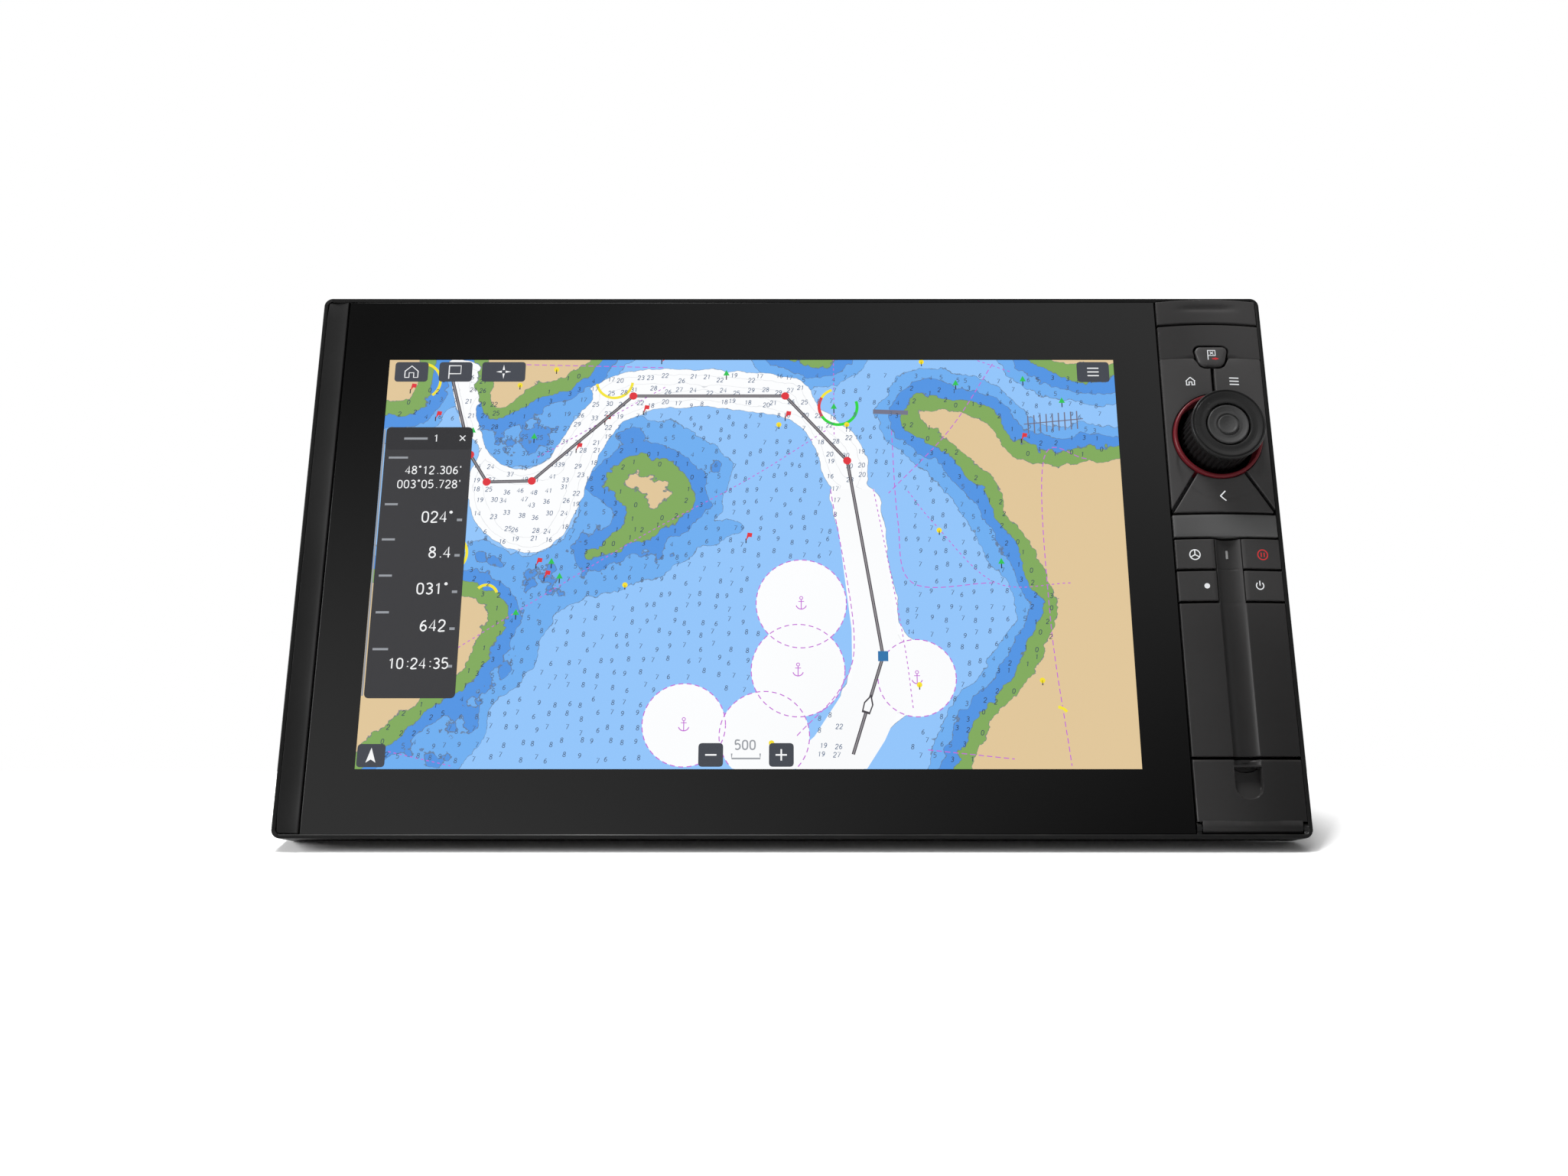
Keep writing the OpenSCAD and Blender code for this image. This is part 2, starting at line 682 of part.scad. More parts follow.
module keypad_frame() {
    color("#313236") crowned((shoulder_z + pad_z1) / 2, floor_y) difference() {
        rect(col_x0 + fit_gap, col_x1, shoulder_z, pad_z1);
        waypoint_outline(1);
    }
}

module waypoint_key() {
    color("#34353a") union() {
        crowned(waypoint_z, key_back, waypoint_lift) waypoint_outline(0);
        stem(stems[0][0], stems[0][1]);
    }
}

// The home key lies left of the knob (-1) and the menu key right of it (1)
module side_key(side) {
    edge = side < 0 ? col_x0 + fit_gap : col_x1;
    crowned((shoulder_z + pad_z0) / 2, key_back) difference() {
        polygon([[edge, shoulder_z - 0.3], [col_cx, shoulder_z - 0.3], [col_cx, knob_z], [edge, pad_z0]]);
        key_cuts();
    }
}

module home_key() {
    color("#323337") union() {
        side_key(-1);
        stem(stems[1][0], stems[1][1]);
    }
}

module menu_key() {
    color("#323337") union() {
        side_key(1);
        stem(stems[2][0], stems[2][1]);
    }
}

module back_key() {
    color("#35363a") union() {
        crowned((shoulder_z + pad_z0) / 2, key_back) difference() {
            polygon([[col_x0 + fit_gap, pad_z0], [col_cx, knob_z], [col_x1, pad_z0]]);
            key_cuts();
        }
        stem(stems[3][0], stems[3][1]);
    }
}

module name_plate() {
    color("#47484c") crowned((plate_z0 + plate_z1) / 2, floor_y)
        rect(col_x0 + fit_gap, col_x1, plate_z0, plate_z1);
}

// A small key in row 0 or 1, left (-1) or right (1) of the channel
module row_key(row, side) {
    z_mid = row_z0[row] + row_h / 2;
    inner = col_cx + side * (channel_w / 2 + fit_gap);
    edge = side < 0 ? col_x0 + fit_gap : col_x1;
    crowned(z_mid, key_back) rect(min(inner, edge), max(inner, edge), row_z0[row], row_z1[row]);
    stem(col_cx + side * stem_dx, z_mid);
}

module pilot_key() {
    color("#2f3034") row_key(0, -1);
}

module standby_key() {
    color("#2f3034") row_key(0, 1);
}

module user_key() {
    color("#2e2f33") row_key(1, -1);
}

module power_key() {
    color("#2e2f33") row_key(1, 1);
}

module lower_fascia() {
    strip = channel_w / 2 - fit_gap;
    z_mid = (fascia_z0 + fascia_z1) / 2;
    strip_mid = (row_z0[1] + row_z1[0]) / 2;
    color("#2b2c30") difference() {
        union() {
            crowned(z_mid, floor_y) rect(col_x0 + fit_gap, col_x1, fascia_z0, fascia_z1);
            crowned(strip_mid, floor_y) rect(col_cx - strip, col_cx + strip, fascia_z1 - 1, row_z1[0]);
        }
        channel(fascia_z0 - 1, fascia_z1, z_mid);
        channel(fascia_z1, row_z1[0] + 1, strip_mid);
        slab(face_y - 9, floor_y + 1) indicator_outline(fit_gap / 2);
        slab(floor_y - 2, floor_y + 1) indicator_outline(1.3);
    }
}

module indicator_outline(g) {
    translate([col_cx, row_z0[0] + row_h / 2]) square([1.2 + 2 * g, 4 + 2 * g], center = true);
}

module indicator_light() {
    color("#8b8f94") union() {
        slab(face_y + 1.6, keypad_board_y) indicator_outline(0);
        slab(floor_y - 1.8, floor_y - 0.3) indicator_outline(1.2);
    }
}

module light_ring() {
    color("#7a1018") turned([
        [ring_r - ring_w, floor_y], [ring_r, floor_y], [ring_r, face_y - ring_h + 0.5],
        [ring_r - 0.5, face_y - ring_h], [ring_r - ring_w, face_y - ring_h]
    ]);
}

module keymat() {
    color("#4a4a4d") difference() {
        union() {
            slab(floor_y - keymat_t, floor_y) rect(col_x0 + 2, col_x1 - 2, pad_z0 + 1, shoulder_z - 1);
            for (s = [-1, 1]) slab(floor_y - keymat_t, floor_y) rect(
                min(col_cx + s * 7, col_cx + s * (col_w / 2 - 2)),
                max(col_cx + s * 7, col_cx + s * (col_w / 2 - 2)), row_z0[1] + 1, row_z1[0] - 1);
        }
        rod(col_cx, knob_z, ring_cut, floor_y - 3, floor_y + 1);
        for (h = stems) rod(h[0], h[1], stem_r + 0.3, floor_y - 3, floor_y + 1);
        slab(floor_y - 3, floor_y + 1) waypoint_outline(1);
    }
}

module keypad_board() {
    color("#14502f") difference() {
        slab(keypad_board_y, keypad_board_y + board_t) rect(board_x0, board_x1, board_z0, board_z1);
        for (h = keypad_holes) rod(h[0], h[1], screw_r + running, keypad_board_y - 1, 0);
        rod(col_cx, knob_z, shaft_r + 1.6, keypad_board_y - 1, 0);
    }
}

module tact_switches() {
    half = 2.5;
    color("#1d1e20") for (h = stems) difference() {
        block(h[0] - half, h[0] + half, web_y + 0.3, keypad_board_y, h[1] - half, h[1] + half);
        rod(h[0], h[1], stem_r + 0.2, web_y - 1, stem_end + key_travel + 0.3);
    }
}

// ---------- knob ----------

module joystick_base() {
    color("#55585d") difference() {
        rod(col_cx, knob_z, base_r, floor_y, keypad_board_y);
        rod(col_cx, knob_z, base_in, floor_y - 1, keypad_board_y + 1);
        translate([col_cx - 20, pivot_y, knob_z]) rotate([0, 90, 0]) cylinder(h = 40, r = trunnion_r + running);
    }
}

module gimbal_ring() {
    color("#9a9da2") difference() {
        union() {
            rod(col_cx, knob_z, gimbal_r, pivot_y - gimbal_t / 2, pivot_y + gimbal_t / 2);
            translate([col_cx - base_r + 0.4, pivot_y, knob_z]) rotate([0, 90, 0])
                cylinder(h = 2 * base_r - 0.8, r = trunnion_r);
        }
        rod(col_cx, knob_z, gimbal_in, pivot_y - 5, pivot_y + 5);
        translate([col_cx, pivot_y, knob_z - 20]) cylinder(h = 40, r = trunnion_r + running);
    }
}

module gimbal_hub() {
    color("#c2a14a") difference() {
        union() {
            rod(col_cx, knob_z, hub_r, pivot_y - gimbal_t / 2, pivot_y + gimbal_t / 2);
            translate([col_cx, pivot_y, knob_z - gimbal_r + 0.4])
                cylinder(h = 2 * gimbal_r - 0.8, r = trunnion_r);
        }
        rod(col_cx, knob_z, shaft_r + running, pivot_y - 5, pivot_y + 5);
    }
}

collar_r = shaft_r + 1.6;
module knob_shaft() {
    collar_y = pivot_y - gimbal_t / 2 - key_travel - 0.2;
    color("silver") union() {
        rod(col_cx, knob_z, shaft_r, knob_top + cap_t + 2.2, pivot_y + gimbal_t / 2 + 0.2);
        rod(col_cx, knob_z, collar_r, collar_y - 1, collar_y);
    }
}

module knob_seal() {
    lip_r = shaft_r + 0.9;
    bend_r = collar_r + 1;
    color("#1a1a1b") turned([
        [lip_r, floor_y - 1.9], [bend_r, floor_y - 1.3], [base_r + 1.6, floor_y - 1.3],
        [base_r + 1.6, floor_y], [base_r - 1, floor_y], [bend_r, floor_y - 0.7], [lip_r, floor_y - 1.3]
    ]);
}

module knob_core() {
    color("#2a2b2e") difference() {
        rod(col_cx, knob_z, core_r, knob_top + cap_t, knob_bottom);
        rod(col_cx, knob_z, shaft_r + running, knob_top + cap_t + 2, knob_bottom + 1);
        rod(col_cx, knob_z, core_r - 3, knob_bottom - 4, knob_bottom + 1);
    }
}

module knob_grip() {
    rib = PI * grip_r / rib_count / 2;
    color("#161617") difference() {
        rod(col_cx, knob_z, grip_r, knob_top + cap_t, knob_bottom);
        rod(col_cx, knob_z, core_r, knob_top, knob_bottom + 1);
        for (i = [0:rib_count - 1]) {
            a = i * 360 / rib_count;
            x = col_cx + (grip_r + 0.2) * cos(a);
            z = knob_z + (grip_r + 0.2) * sin(a);
            rod(x, z, rib, knob_top + cap_t + 1.4, knob_bottom + 1);
        }
    }
}

module knob_cap() {
    neck = 1.1;
    color("#2c2d30") turned([
        [dish_r + 0.2, knob_top + 0.5], [dish_r + 2.6, knob_top + 0.2], [knob_r - 1, knob_top],
        [knob_r - 0.3, knob_top + 0.25], [knob_r, knob_top + 0.9], [knob_r, knob_top + 1.8],
        [knob_r - neck, knob_top + 2.3], [knob_r - neck, knob_top + cap_t], [dish_r + 0.2, knob_top + cap_t]
    ]);
}

module knob_button() {
    mid = dish_r / 2;
    color("#2f3033") turned([
        [0, knob_top + 1.1], [mid - 1, knob_top + 0.9], [mid - 0.3, knob_top + 0.7],
        [mid - 0.1, knob_top + 1.3], [mid + 0.4, knob_top + 1.3], [mid + 0.7, knob_top + 1.2],
        [dish_r - 1, knob_top + 0.7],
        [dish_r - 0.2, knob_top + 0.8], [dish_r - 0.2, knob_top + cap_t], [0, knob_top + cap_t]
    ]);
}

// ---------- card door ----------

module card_door() {
    z_mid = door_z1 - door_h / 2;
    scoop_z1 = door_z1 - 3.3;
    scoop_z0 = scoop_z1 - 14.3;
    scoop_r = channel_w / 2 + 0.2;
    front = face_y - crown(z_mid);
    x0 = col_x0 + fit_gap;
    x1 = col_x1;
    lug = hinge_lug + fit_gap;
    color("#2a2b2f") difference() {
        union() {
            crowned(z_mid, face_y + door_t) rect(x0, x1, hinge_z + barrel_r + fit_gap, door_z1);
            intersection() {
                union() {
                    crowned(z_mid, face_y + door_t) rect(x0 + lug, x1 - lug, hinge_z, hinge_z + barrel_r + 1);
                    translate([x0 + lug, hinge_y, hinge_z]) rotate([0, 90, 0])
                        cylinder(h = x1 - x0 - 2 * lug, r = barrel_r);
                }
                block(x0 + lug, x1 - lug, front - 1, 0, -z_top, hinge_z + barrel_r + 1);
            }
            slab(face_y + door_t - 0.5, floor_y - 2.2) difference() {
                bead_outline(bead_w);
                bead_outline(0);
            }
            block(col_cx - scoop_r - 1.8, col_cx + scoop_r + 1.8, face_y + 1, floor_y - 2.6,
                scoop_z0 - 1, scoop_z1 + 1.8);
        }
        translate([x0, hinge_y, hinge_z]) rotate([0, 90, 0]) cylinder(h = x1 - x0, r = pin_r + running);
        channel(door_z1 - 2.6, door_z1 + 1, z_mid);
        intersection() {
            slab(face_y - 4, 0) union() {
                translate([col_cx, scoop_z0 + scoop_r]) circle(r = scoop_r);
                rect(col_cx - scoop_r, col_cx + scoop_r, scoop_z0 + scoop_r, scoop_z1);
            }
            translate([col_cx - 10, 0, 0]) rotate([90, 0, 90]) linear_extrude(20) polygon([
                [front - 2, scoop_z1], [face_y + 3.1, scoop_z1], [face_y + 2.6, scoop_z1 - 6],
                [front - 0.1, scoop_z0 + 0.2], [front - 2, scoop_z0]
            ]);
        }
    }
}

// The sealing bead's outline round the card well, grown by g
module bead_outline(g) {
    w = bead_out + g;
    rect(card_cx - well_w / 2 - w, card_cx + well_w / 2 + w, well_z0 - w, well_z1 + w);
}

module door_gasket() {
    color("#1b1b1d") slab(floor_y - 2.2, floor_y - 0.1) difference() {
        bead_outline(bead_w);
        bead_outline(0);
    }
}

module door_pin() {
    color("silver") translate([col_x0 + 0.1, hinge_y, hinge_z]) rotate([0, 90, 0])
        cylinder(h = inner_w / 2 - col_x0 - 0.2, r = pin_r);
}

module card_sockets() {
    slot_w = 11.4;
    color("#b4b6ba") for (z = [card_board_z - socket_h, card_board_z + board_t]) difference() {
        block(card_cx - socket_w / 2, card_cx + socket_w / 2, socket_y, socket_y + socket_l, z, z + socket_h);
        block(card_cx - slot_w / 2, card_cx + slot_w / 2, socket_y - 1, socket_y + socket_l - 2,
            z + socket_h / 2 - 0.5, z + socket_h / 2 + 0.5);
    }
}

module card_board() {
    color("#14502f") block(card_cx - card_board_w / 2, card_cx + card_board_w / 2, well_floor + web_t + 0.1,
        well_floor + 26, card_board_z, card_board_z + board_t);
}

// ---------- electronics ----------

module board(x0, z0, w, h, y, holes) {
    difference() {
        slab(y, y + board_t) rect(x0, x0 + w, z0, z0 + h);
        for (p = holes) rod(p[0], p[1], screw_r + running, y - 1, y + board_t + 1);
    }
}

module main_board() {
    color("#14502f") board(main_x0, main_z0, main_w, main_h, main_y, main_holes);
}

module power_board() {
    color("#1c4a66") board(power_x0, power_z0, power_w, power_h, main_y, power_holes);
}

module connector_board() {
    color("#14502f") board(-link_w / 2, link_z0, link_w, link_h, link_y, link_holes);
}

chip_x = main_x0 + main_w / 2;
chip_z = main_z0 + main_h / 2 + 8;
module board_chips() {
    chip = 17;
    color("#1b1c1e") {
        block(chip_x - chip, chip_x + chip, main_y + board_t, main_y + board_t + chip_t,
            chip_z - chip, chip_z + chip);
        for (z = [chip_z - 30:15:chip_z + 15]) block(chip_x - 46, chip_x - 32, main_y - 1.2, main_y, z, z + 10);
        block(chip_x + 36, chip_x + 54, main_y - 1.4, main_y, chip_z - 9, chip_z + 9);
        block(main_x0 + 20, main_x0 + 42, main_y - 2.4, main_y, main_z0 + 14, main_z0 + 30);
    }
}

module thermal_pad() {
    y = main_y + board_t + chip_t;
    color("#9aa7b5") block(chip_x - 16, chip_x + 16, y, y + pad_t, chip_z - 16, chip_z + 16);
}

module power_components() {
    color("#2a4f8a") {
        for (k = [0:3]) rod(power_x0 + 18 + k * 16, power_z0 + power_h - 20, 5, main_y - 12, main_y);
        for (x = [power_x0 + 14, power_x0 + 44])
            block(x, x + 18, main_y - 8, main_y, power_z0 + 30, power_z0 + 48);
        block(power_x0 + 14, power_x0 + 60, main_y - 5, main_y, power_z0 + 12, power_z0 + 20);
    }
}

module gps_antenna() {
    color("#c9b58a") union() {
        block(-12.5, 12.5, 10, 35, cavity_h / 2 - 4, cavity_h / 2);
        block(-10, 10, 12.5, 32.5, cavity_h / 2 - 6, cavity_h / 2 - 4);
    }
}

module wifi_antenna() {
    color("#14502f") block(-cavity_w / 2, -cavity_w / 2 + 1, 6, 16, -20, 24);
}

module buzzer() {
    x = main_x0 + main_w - 20;
    color("#17181a") difference() {
        rod(x, main_z0 + 20, 6.5, main_y - 7, main_y);
        rod(x, main_z0 + 20, 1.2, main_y - 8, main_y - 5);
    }
}

module pressure_vent() {
    color("#44464a") union() {
        rod(vent_x, vent_z, vent_r, back_in + 0.5, house_d);
        rod(vent_x, vent_z, vent_r + 2.4, house_d, house_d + 2.6);
    }
}

// Flat cables: one from the backlight's rear to the main board, one from the keypad board
module ribbon_cables() {
    t = 0.4;
    slot_z = screen_cz - screen_h / 2 + 20;
    y0 = backlight_back;
    y1 = main_y;
    z1 = main_z0 + 6;
    yk = keypad_board_y + board_t;
    xk = main_x0 + main_w - 8;
    zk = pad_z0 + 4;
    color("#c08a3c") {
        translate([ribbon_x0, 0, 0]) rotate([90, 0, 90]) linear_extrude(28) polygon([
            [y0, slot_z], [y1 - 6, slot_z], [y1 - 6, z1], [y1, z1], [y1, z1 + t], [y1 - 6 - t, z1 + t],
            [y1 - 6 - t, slot_z + t], [y0, slot_z + t]
        ]);
        slab_up(zk, zk + 16) polygon([
            [board_x0 + 10, yk], [board_x0 + 10, y1 - 12], [xk, y1 - 12], [xk, y1], [xk - t, y1],
            [xk - t, y1 - 12 - t], [board_x0 + 10 - t, y1 - 12 - t], [board_x0 + 10 - t, yk]
        ]);
    }
}

// An outline in X and Y, made solid from z0 up to z1
module slab_up(z0, z1) {
    translate([0, 0, z0]) linear_extrude(z1 - z0) children();
}

module board_screws() {
    color("silver") {
        for (h = chassis_holes) board_screw(h, backlight_back + chassis_t, 5.5, 1);
        for (h = keypad_holes) board_screw(h, keypad_board_y + board_t, 4.4, 1);
        for (h = concat(main_holes, power_holes)) board_screw(h, main_y, screw_l, -1);
        for (h = link_holes) board_screw(h, link_y, screw_l, -1);
    }
}

// A screw whose head lies on the plane y and whose shank goes the other way
module board_screw(h, y, l, side) {
    if (side > 0) {
        rod(h[0], h[1], screw_head_r, y, y + screw_head_t);
        rod(h[0], h[1], screw_r, y - l, y);
    } else {
        rod(h[0], h[1], screw_head_r, y - screw_head_t, y);
        rod(h[0], h[1], screw_r, y, y + l);
    }
}

// ---------- connectors ----------

// A round connector: a flange on the rear wall, a barrel outside and a tail inside
module connector(i, r, contacts) {
    x = plug_x(i);
    end = house_d + connector_l;
    core = r - 3;
    difference() {
        union() {
            rod(x, plug_z, r - 1, link_y + board_t, house_d);
            rod(x, plug_z, r + 2.5, house_d, house_d + 2.5);
            rod(x, plug_z, r, house_d + 2.5, end);
        }
        difference() {
            rod(x, plug_z, r - 1.6, end - 7, end + 1);
            rod(x, plug_z, core, end - 8, end - 1);
        }
        for (k = [0:contacts - 1]) {
            a = k * 360 / contacts;
            rod(x + core * 0.6 * cos(a), plug_z + core * 0.6 * sin(a), 0.55, end - 6, end);
        }
    }
}

module power_connector() {
    color("#3a3b3f") for (p = power_plug) connector(p[0], p[1], 3);
}

module bus_connectors() {
    color("#3a3b3f") for (p = bus_plugs) connector(p[0], p[1], 5);
}

module network_connectors() {
    color("#3a3b3f") for (p = network_plugs) connector(p[0], p[1], 8);
}

module sonar_connectors() {
    color("#3a3b3f") for (p = sonar_plugs) connector(p[0], p[1], 9);
}

front_bezel();
panel_gasket();
rear_housing();
cooling_fins();
housing_seal();
cover_glass();
glass_mask();
optical_bond();
lcd_cell();
backlight_unit();
chassis_plate();
left_trim();
top_cap();
keypad_frame();
lower_fascia();
name_plate();
indicator_light();
light_ring();
keymat();
keypad_board();
tact_switches();
joystick_base();
gimbal_ring();
gimbal_hub();
knob_shaft();
knob_core();
knob_grip();
knob_cap();
knob_button();
knob_seal();
waypoint_key();
home_key();
menu_key();
back_key();
pilot_key();
standby_key();
user_key();
power_key();
card_door();
door_pin();
door_gasket();
card_sockets();
card_board();
main_board();
board_chips();
thermal_pad();
power_board();
power_components();
connector_board();
gps_antenna();
wifi_antenna();
buzzer();
pressure_vent();
ribbon_cables();
power_connector();
network_connectors();
bus_connectors();
sonar_connectors();
case_screws();
board_screws();
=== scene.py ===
"""Looks of a flush-mounted chartplotter display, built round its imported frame.

Sizes are in millimetres until a mesh is made. X runs to the right, Y into the console and Z up,
and the front of the bezel faces -Y.
"""

import logging
import math
from dataclasses import dataclass, field
from enum import Enum
from typing import Callable, Iterable, Optional, Sequence, Union

import bmesh
import bpy
import numpy as np
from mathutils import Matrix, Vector


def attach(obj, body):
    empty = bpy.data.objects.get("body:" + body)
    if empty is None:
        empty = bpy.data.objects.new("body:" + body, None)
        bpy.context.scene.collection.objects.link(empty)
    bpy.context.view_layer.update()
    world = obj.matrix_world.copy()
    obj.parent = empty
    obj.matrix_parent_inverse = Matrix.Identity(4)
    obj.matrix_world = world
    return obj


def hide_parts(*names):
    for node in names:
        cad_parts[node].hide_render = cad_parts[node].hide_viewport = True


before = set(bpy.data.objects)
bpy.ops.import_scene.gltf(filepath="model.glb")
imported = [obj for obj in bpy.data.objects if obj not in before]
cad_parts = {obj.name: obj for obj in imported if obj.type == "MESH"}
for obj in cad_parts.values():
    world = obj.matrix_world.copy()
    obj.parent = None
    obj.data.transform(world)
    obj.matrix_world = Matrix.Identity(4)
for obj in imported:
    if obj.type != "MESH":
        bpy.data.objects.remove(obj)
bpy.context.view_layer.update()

log = logging.getLogger("chartplotter")
Array = np.ndarray
Colour = tuple[float, float, float, float]
Point = tuple[float, float]
Line = Union[Array, Sequence[Point]]
Socket, Node, Tree, Piece = bpy.types.NodeSocket, bpy.types.Node, bpy.types.NodeTree, bpy.types.Object
Front = Callable[[Array, Array], Array]
MM = 0.001
TAU = 2.0 * math.pi


# ---------------------------------------------------------------- colours and curves


def tint(red: float, green: Optional[float] = None, blue: Optional[float] = None) -> Colour:
    """A linear colour from display values of 0 to 255; one value alone gives a grey.

    Args:
        red: the red value, or the grey.
        green: the green value.
        blue: the blue value.

    Returns:
        The linear colour with an alpha of 1.
    """
    display = np.array([red, red if green is None else green, red if blue is None else blue]) / 255.0
    linear = np.where(display <= 0.04045, display / 12.92, ((display + 0.055) / 1.055) ** 2.4)
    return (float(linear[0]), float(linear[1]), float(linear[2]), 1.0)


def smooth_step(value: Array, low: float, high: float) -> Array:
    """0 below low, 1 above high, and an S-shaped cubic between them."""
    t = np.clip((value - low) / (high - low), 0.0, 1.0)
    return t * t * (3.0 - 2.0 * t)


def round_over(gap: Array, rim: Union[float, Array]) -> Array:
    """How far a quarter-round edge of radius rim drops at a distance gap inside the outline."""
    reach = np.clip(rim - gap, 0.0, rim)
    return rim - np.sqrt(rim * rim - reach * reach)


def spread(start: float, end: float, rim: float, step: float, marks: Sequence[float] = ()) -> Array:
    """Grid lines from start to end, close together at both ends and at each mark.

    Args:
        start: the first line.
        end: the last line.
        rim: the width of the rounded edge that needs close lines.
        step: the widest spacing elsewhere.
        marks: places with a crease, which get close lines on both sides.

    Returns:
        The sorted places of the lines.
    """
    close = np.array([0.0, 0.03, 0.1, 0.22, 0.4, 0.65, 1.0]) * rim
    inner = np.linspace(start + rim, end - rim, max(2, int(np.ceil((end - start - 2 * rim) / step)) + 1))
    near = np.array([-0.45, -0.3, -0.16, -0.06, 0.0, 0.06, 0.16, 0.3, 0.45])
    at_marks = (np.asarray(marks, float)[:, None] + near).ravel() if len(marks) else np.empty(0)
    at_marks = at_marks[(at_marks > start + rim) & (at_marks < end - rim)]
    lines = np.sort(np.concatenate([start + close, end - close, inner, at_marks]))
    return lines[np.concatenate([[True], np.diff(lines) > 1e-4])]


def flowing(points: Sequence[Point], steps: int = 8, closed: bool = True) -> Array:
    """A smooth curve through a few points: each span is the cubic that leaves and meets its
    points along the line between their neighbours.

    Args:
        points: the points to pass through.
        steps: how many pieces each span is cut into.
        closed: whether the last point joins the first.

    Returns:
        The points of the curve, one row each.
    """
    p = np.asarray(points, float)
    if closed:
        a, b, c, d = np.roll(p, 1, 0), p, np.roll(p, -1, 0), np.roll(p, -2, 0)
    else:
        e = np.vstack([2 * p[0] - p[1], p, 2 * p[-1] - p[-2]])
        a, b, c, d = e[:-3], e[1:-2], e[2:-1], e[3:]
    t = (np.arange(steps) / steps)[None, :, None]
    a, b, c, d = (q[:, None, :] for q in (a, b, c, d))
    curve = 0.5 * (2 * b + (c - a) * t + (2 * a - 5 * b + 4 * c - d) * t**2 + (3 * b - a - 3 * c + d) * t**3)
    flat = curve.reshape(-1, 2)
    return flat if closed else np.vstack([flat, p[-1]])


def softened(points: Sequence[Point], radius: float, steps: int = 5, closed: bool = True) -> Array:
    """A profile with each corner replaced by a small parabola that starts and ends radius away.

    Args:
        points: the corners of the profile.
        radius: how far from its corner a curve begins, at most 0.45 of the shorter side.
        steps: the pieces of each curve.
        closed: whether the profile is a closed loop; an open one keeps its two ends sharp.

    Returns:
        The points of the softened profile.
    """
    p = np.asarray(points, float)
    before, after = np.roll(p, 1, 0) - p, np.roll(p, -1, 0) - p
    long_before = np.linalg.norm(before, axis=1, keepdims=True)
    long_after = np.linalg.norm(after, axis=1, keepdims=True)
    reach = np.minimum(radius, 0.45 * np.minimum(long_before, long_after))
    if not closed:
        reach[[0, -1]] = 0.0
    start = (p + before / long_before * reach)[:, None, :]
    stop = (p + after / long_after * reach)[:, None, :]
    t = np.linspace(0.0, 1.0, steps)[None, :, None]
    curve = (1 - t) ** 2 * start + 2 * t * (1 - t) * p[:, None, :] + t**2 * stop
    return curve.reshape(-1, 2)


def inside_distance(x: Array, z: Array, outline: Array) -> Array:
    """How far points lie inside a closed outline, negative outside it.

    The nearest distance to any side gives the size, and an even-odd count of the sides crossed by
    a level ray gives the sign.

    Args:
        x: X of the points.
        z: Z of the points.
        outline: the points of the outline.

    Returns:
        The distances.
    """
    a, b = outline, np.roll(outline, -1, 0)
    px, pz = x[..., None], z[..., None]
    along = b - a
    t = ((px - a[:, 0]) * along[:, 0] + (pz - a[:, 1]) * along[:, 1]) / np.maximum((along**2).sum(1), 1e-12)
    t = np.clip(t, 0.0, 1.0)
    far = np.hypot(px - a[:, 0] - t * along[:, 0], pz - a[:, 1] - t * along[:, 1]).min(-1)
    spans = (a[:, 1] > pz) != (b[:, 1] > pz)
    rise = np.where(np.abs(along[:, 1]) < 1e-12, 1e-12, along[:, 1])
    crossing = a[:, 0] + (pz - a[:, 1]) / rise * along[:, 0]
    odd = (spans & (px < crossing)).sum(-1) % 2 == 1
    return np.where(odd, far, -far)


# ---------------------------------------------------------------- meshes


def linked(name: str, data: object) -> Piece:
    """An object with that data, in the scene.

    Args:
        name: the object's name.
        data: its mesh, lamp or camera.

    Returns:
        The new object.
    """
    holder = bpy.data.objects.new(name, data)
    bpy.context.scene.collection.objects.link(holder)
    return holder


def shown(name: str, data: bpy.types.Mesh, sharp: float = 32.0) -> Piece:
    """Shades a mesh smooth, but for its sharp edges, and puts it in the scene.

    Args:
        name: the object's name.
        data: the mesh.
        sharp: the angle in degrees above which an edge is shaded sharp.

    Returns:
        The new object, at the origin.
    """
    data.polygons.foreach_set("use_smooth", np.ones(len(data.polygons), bool))
    data.set_sharp_from_angle(angle=math.radians(sharp))
    return linked(name, data)


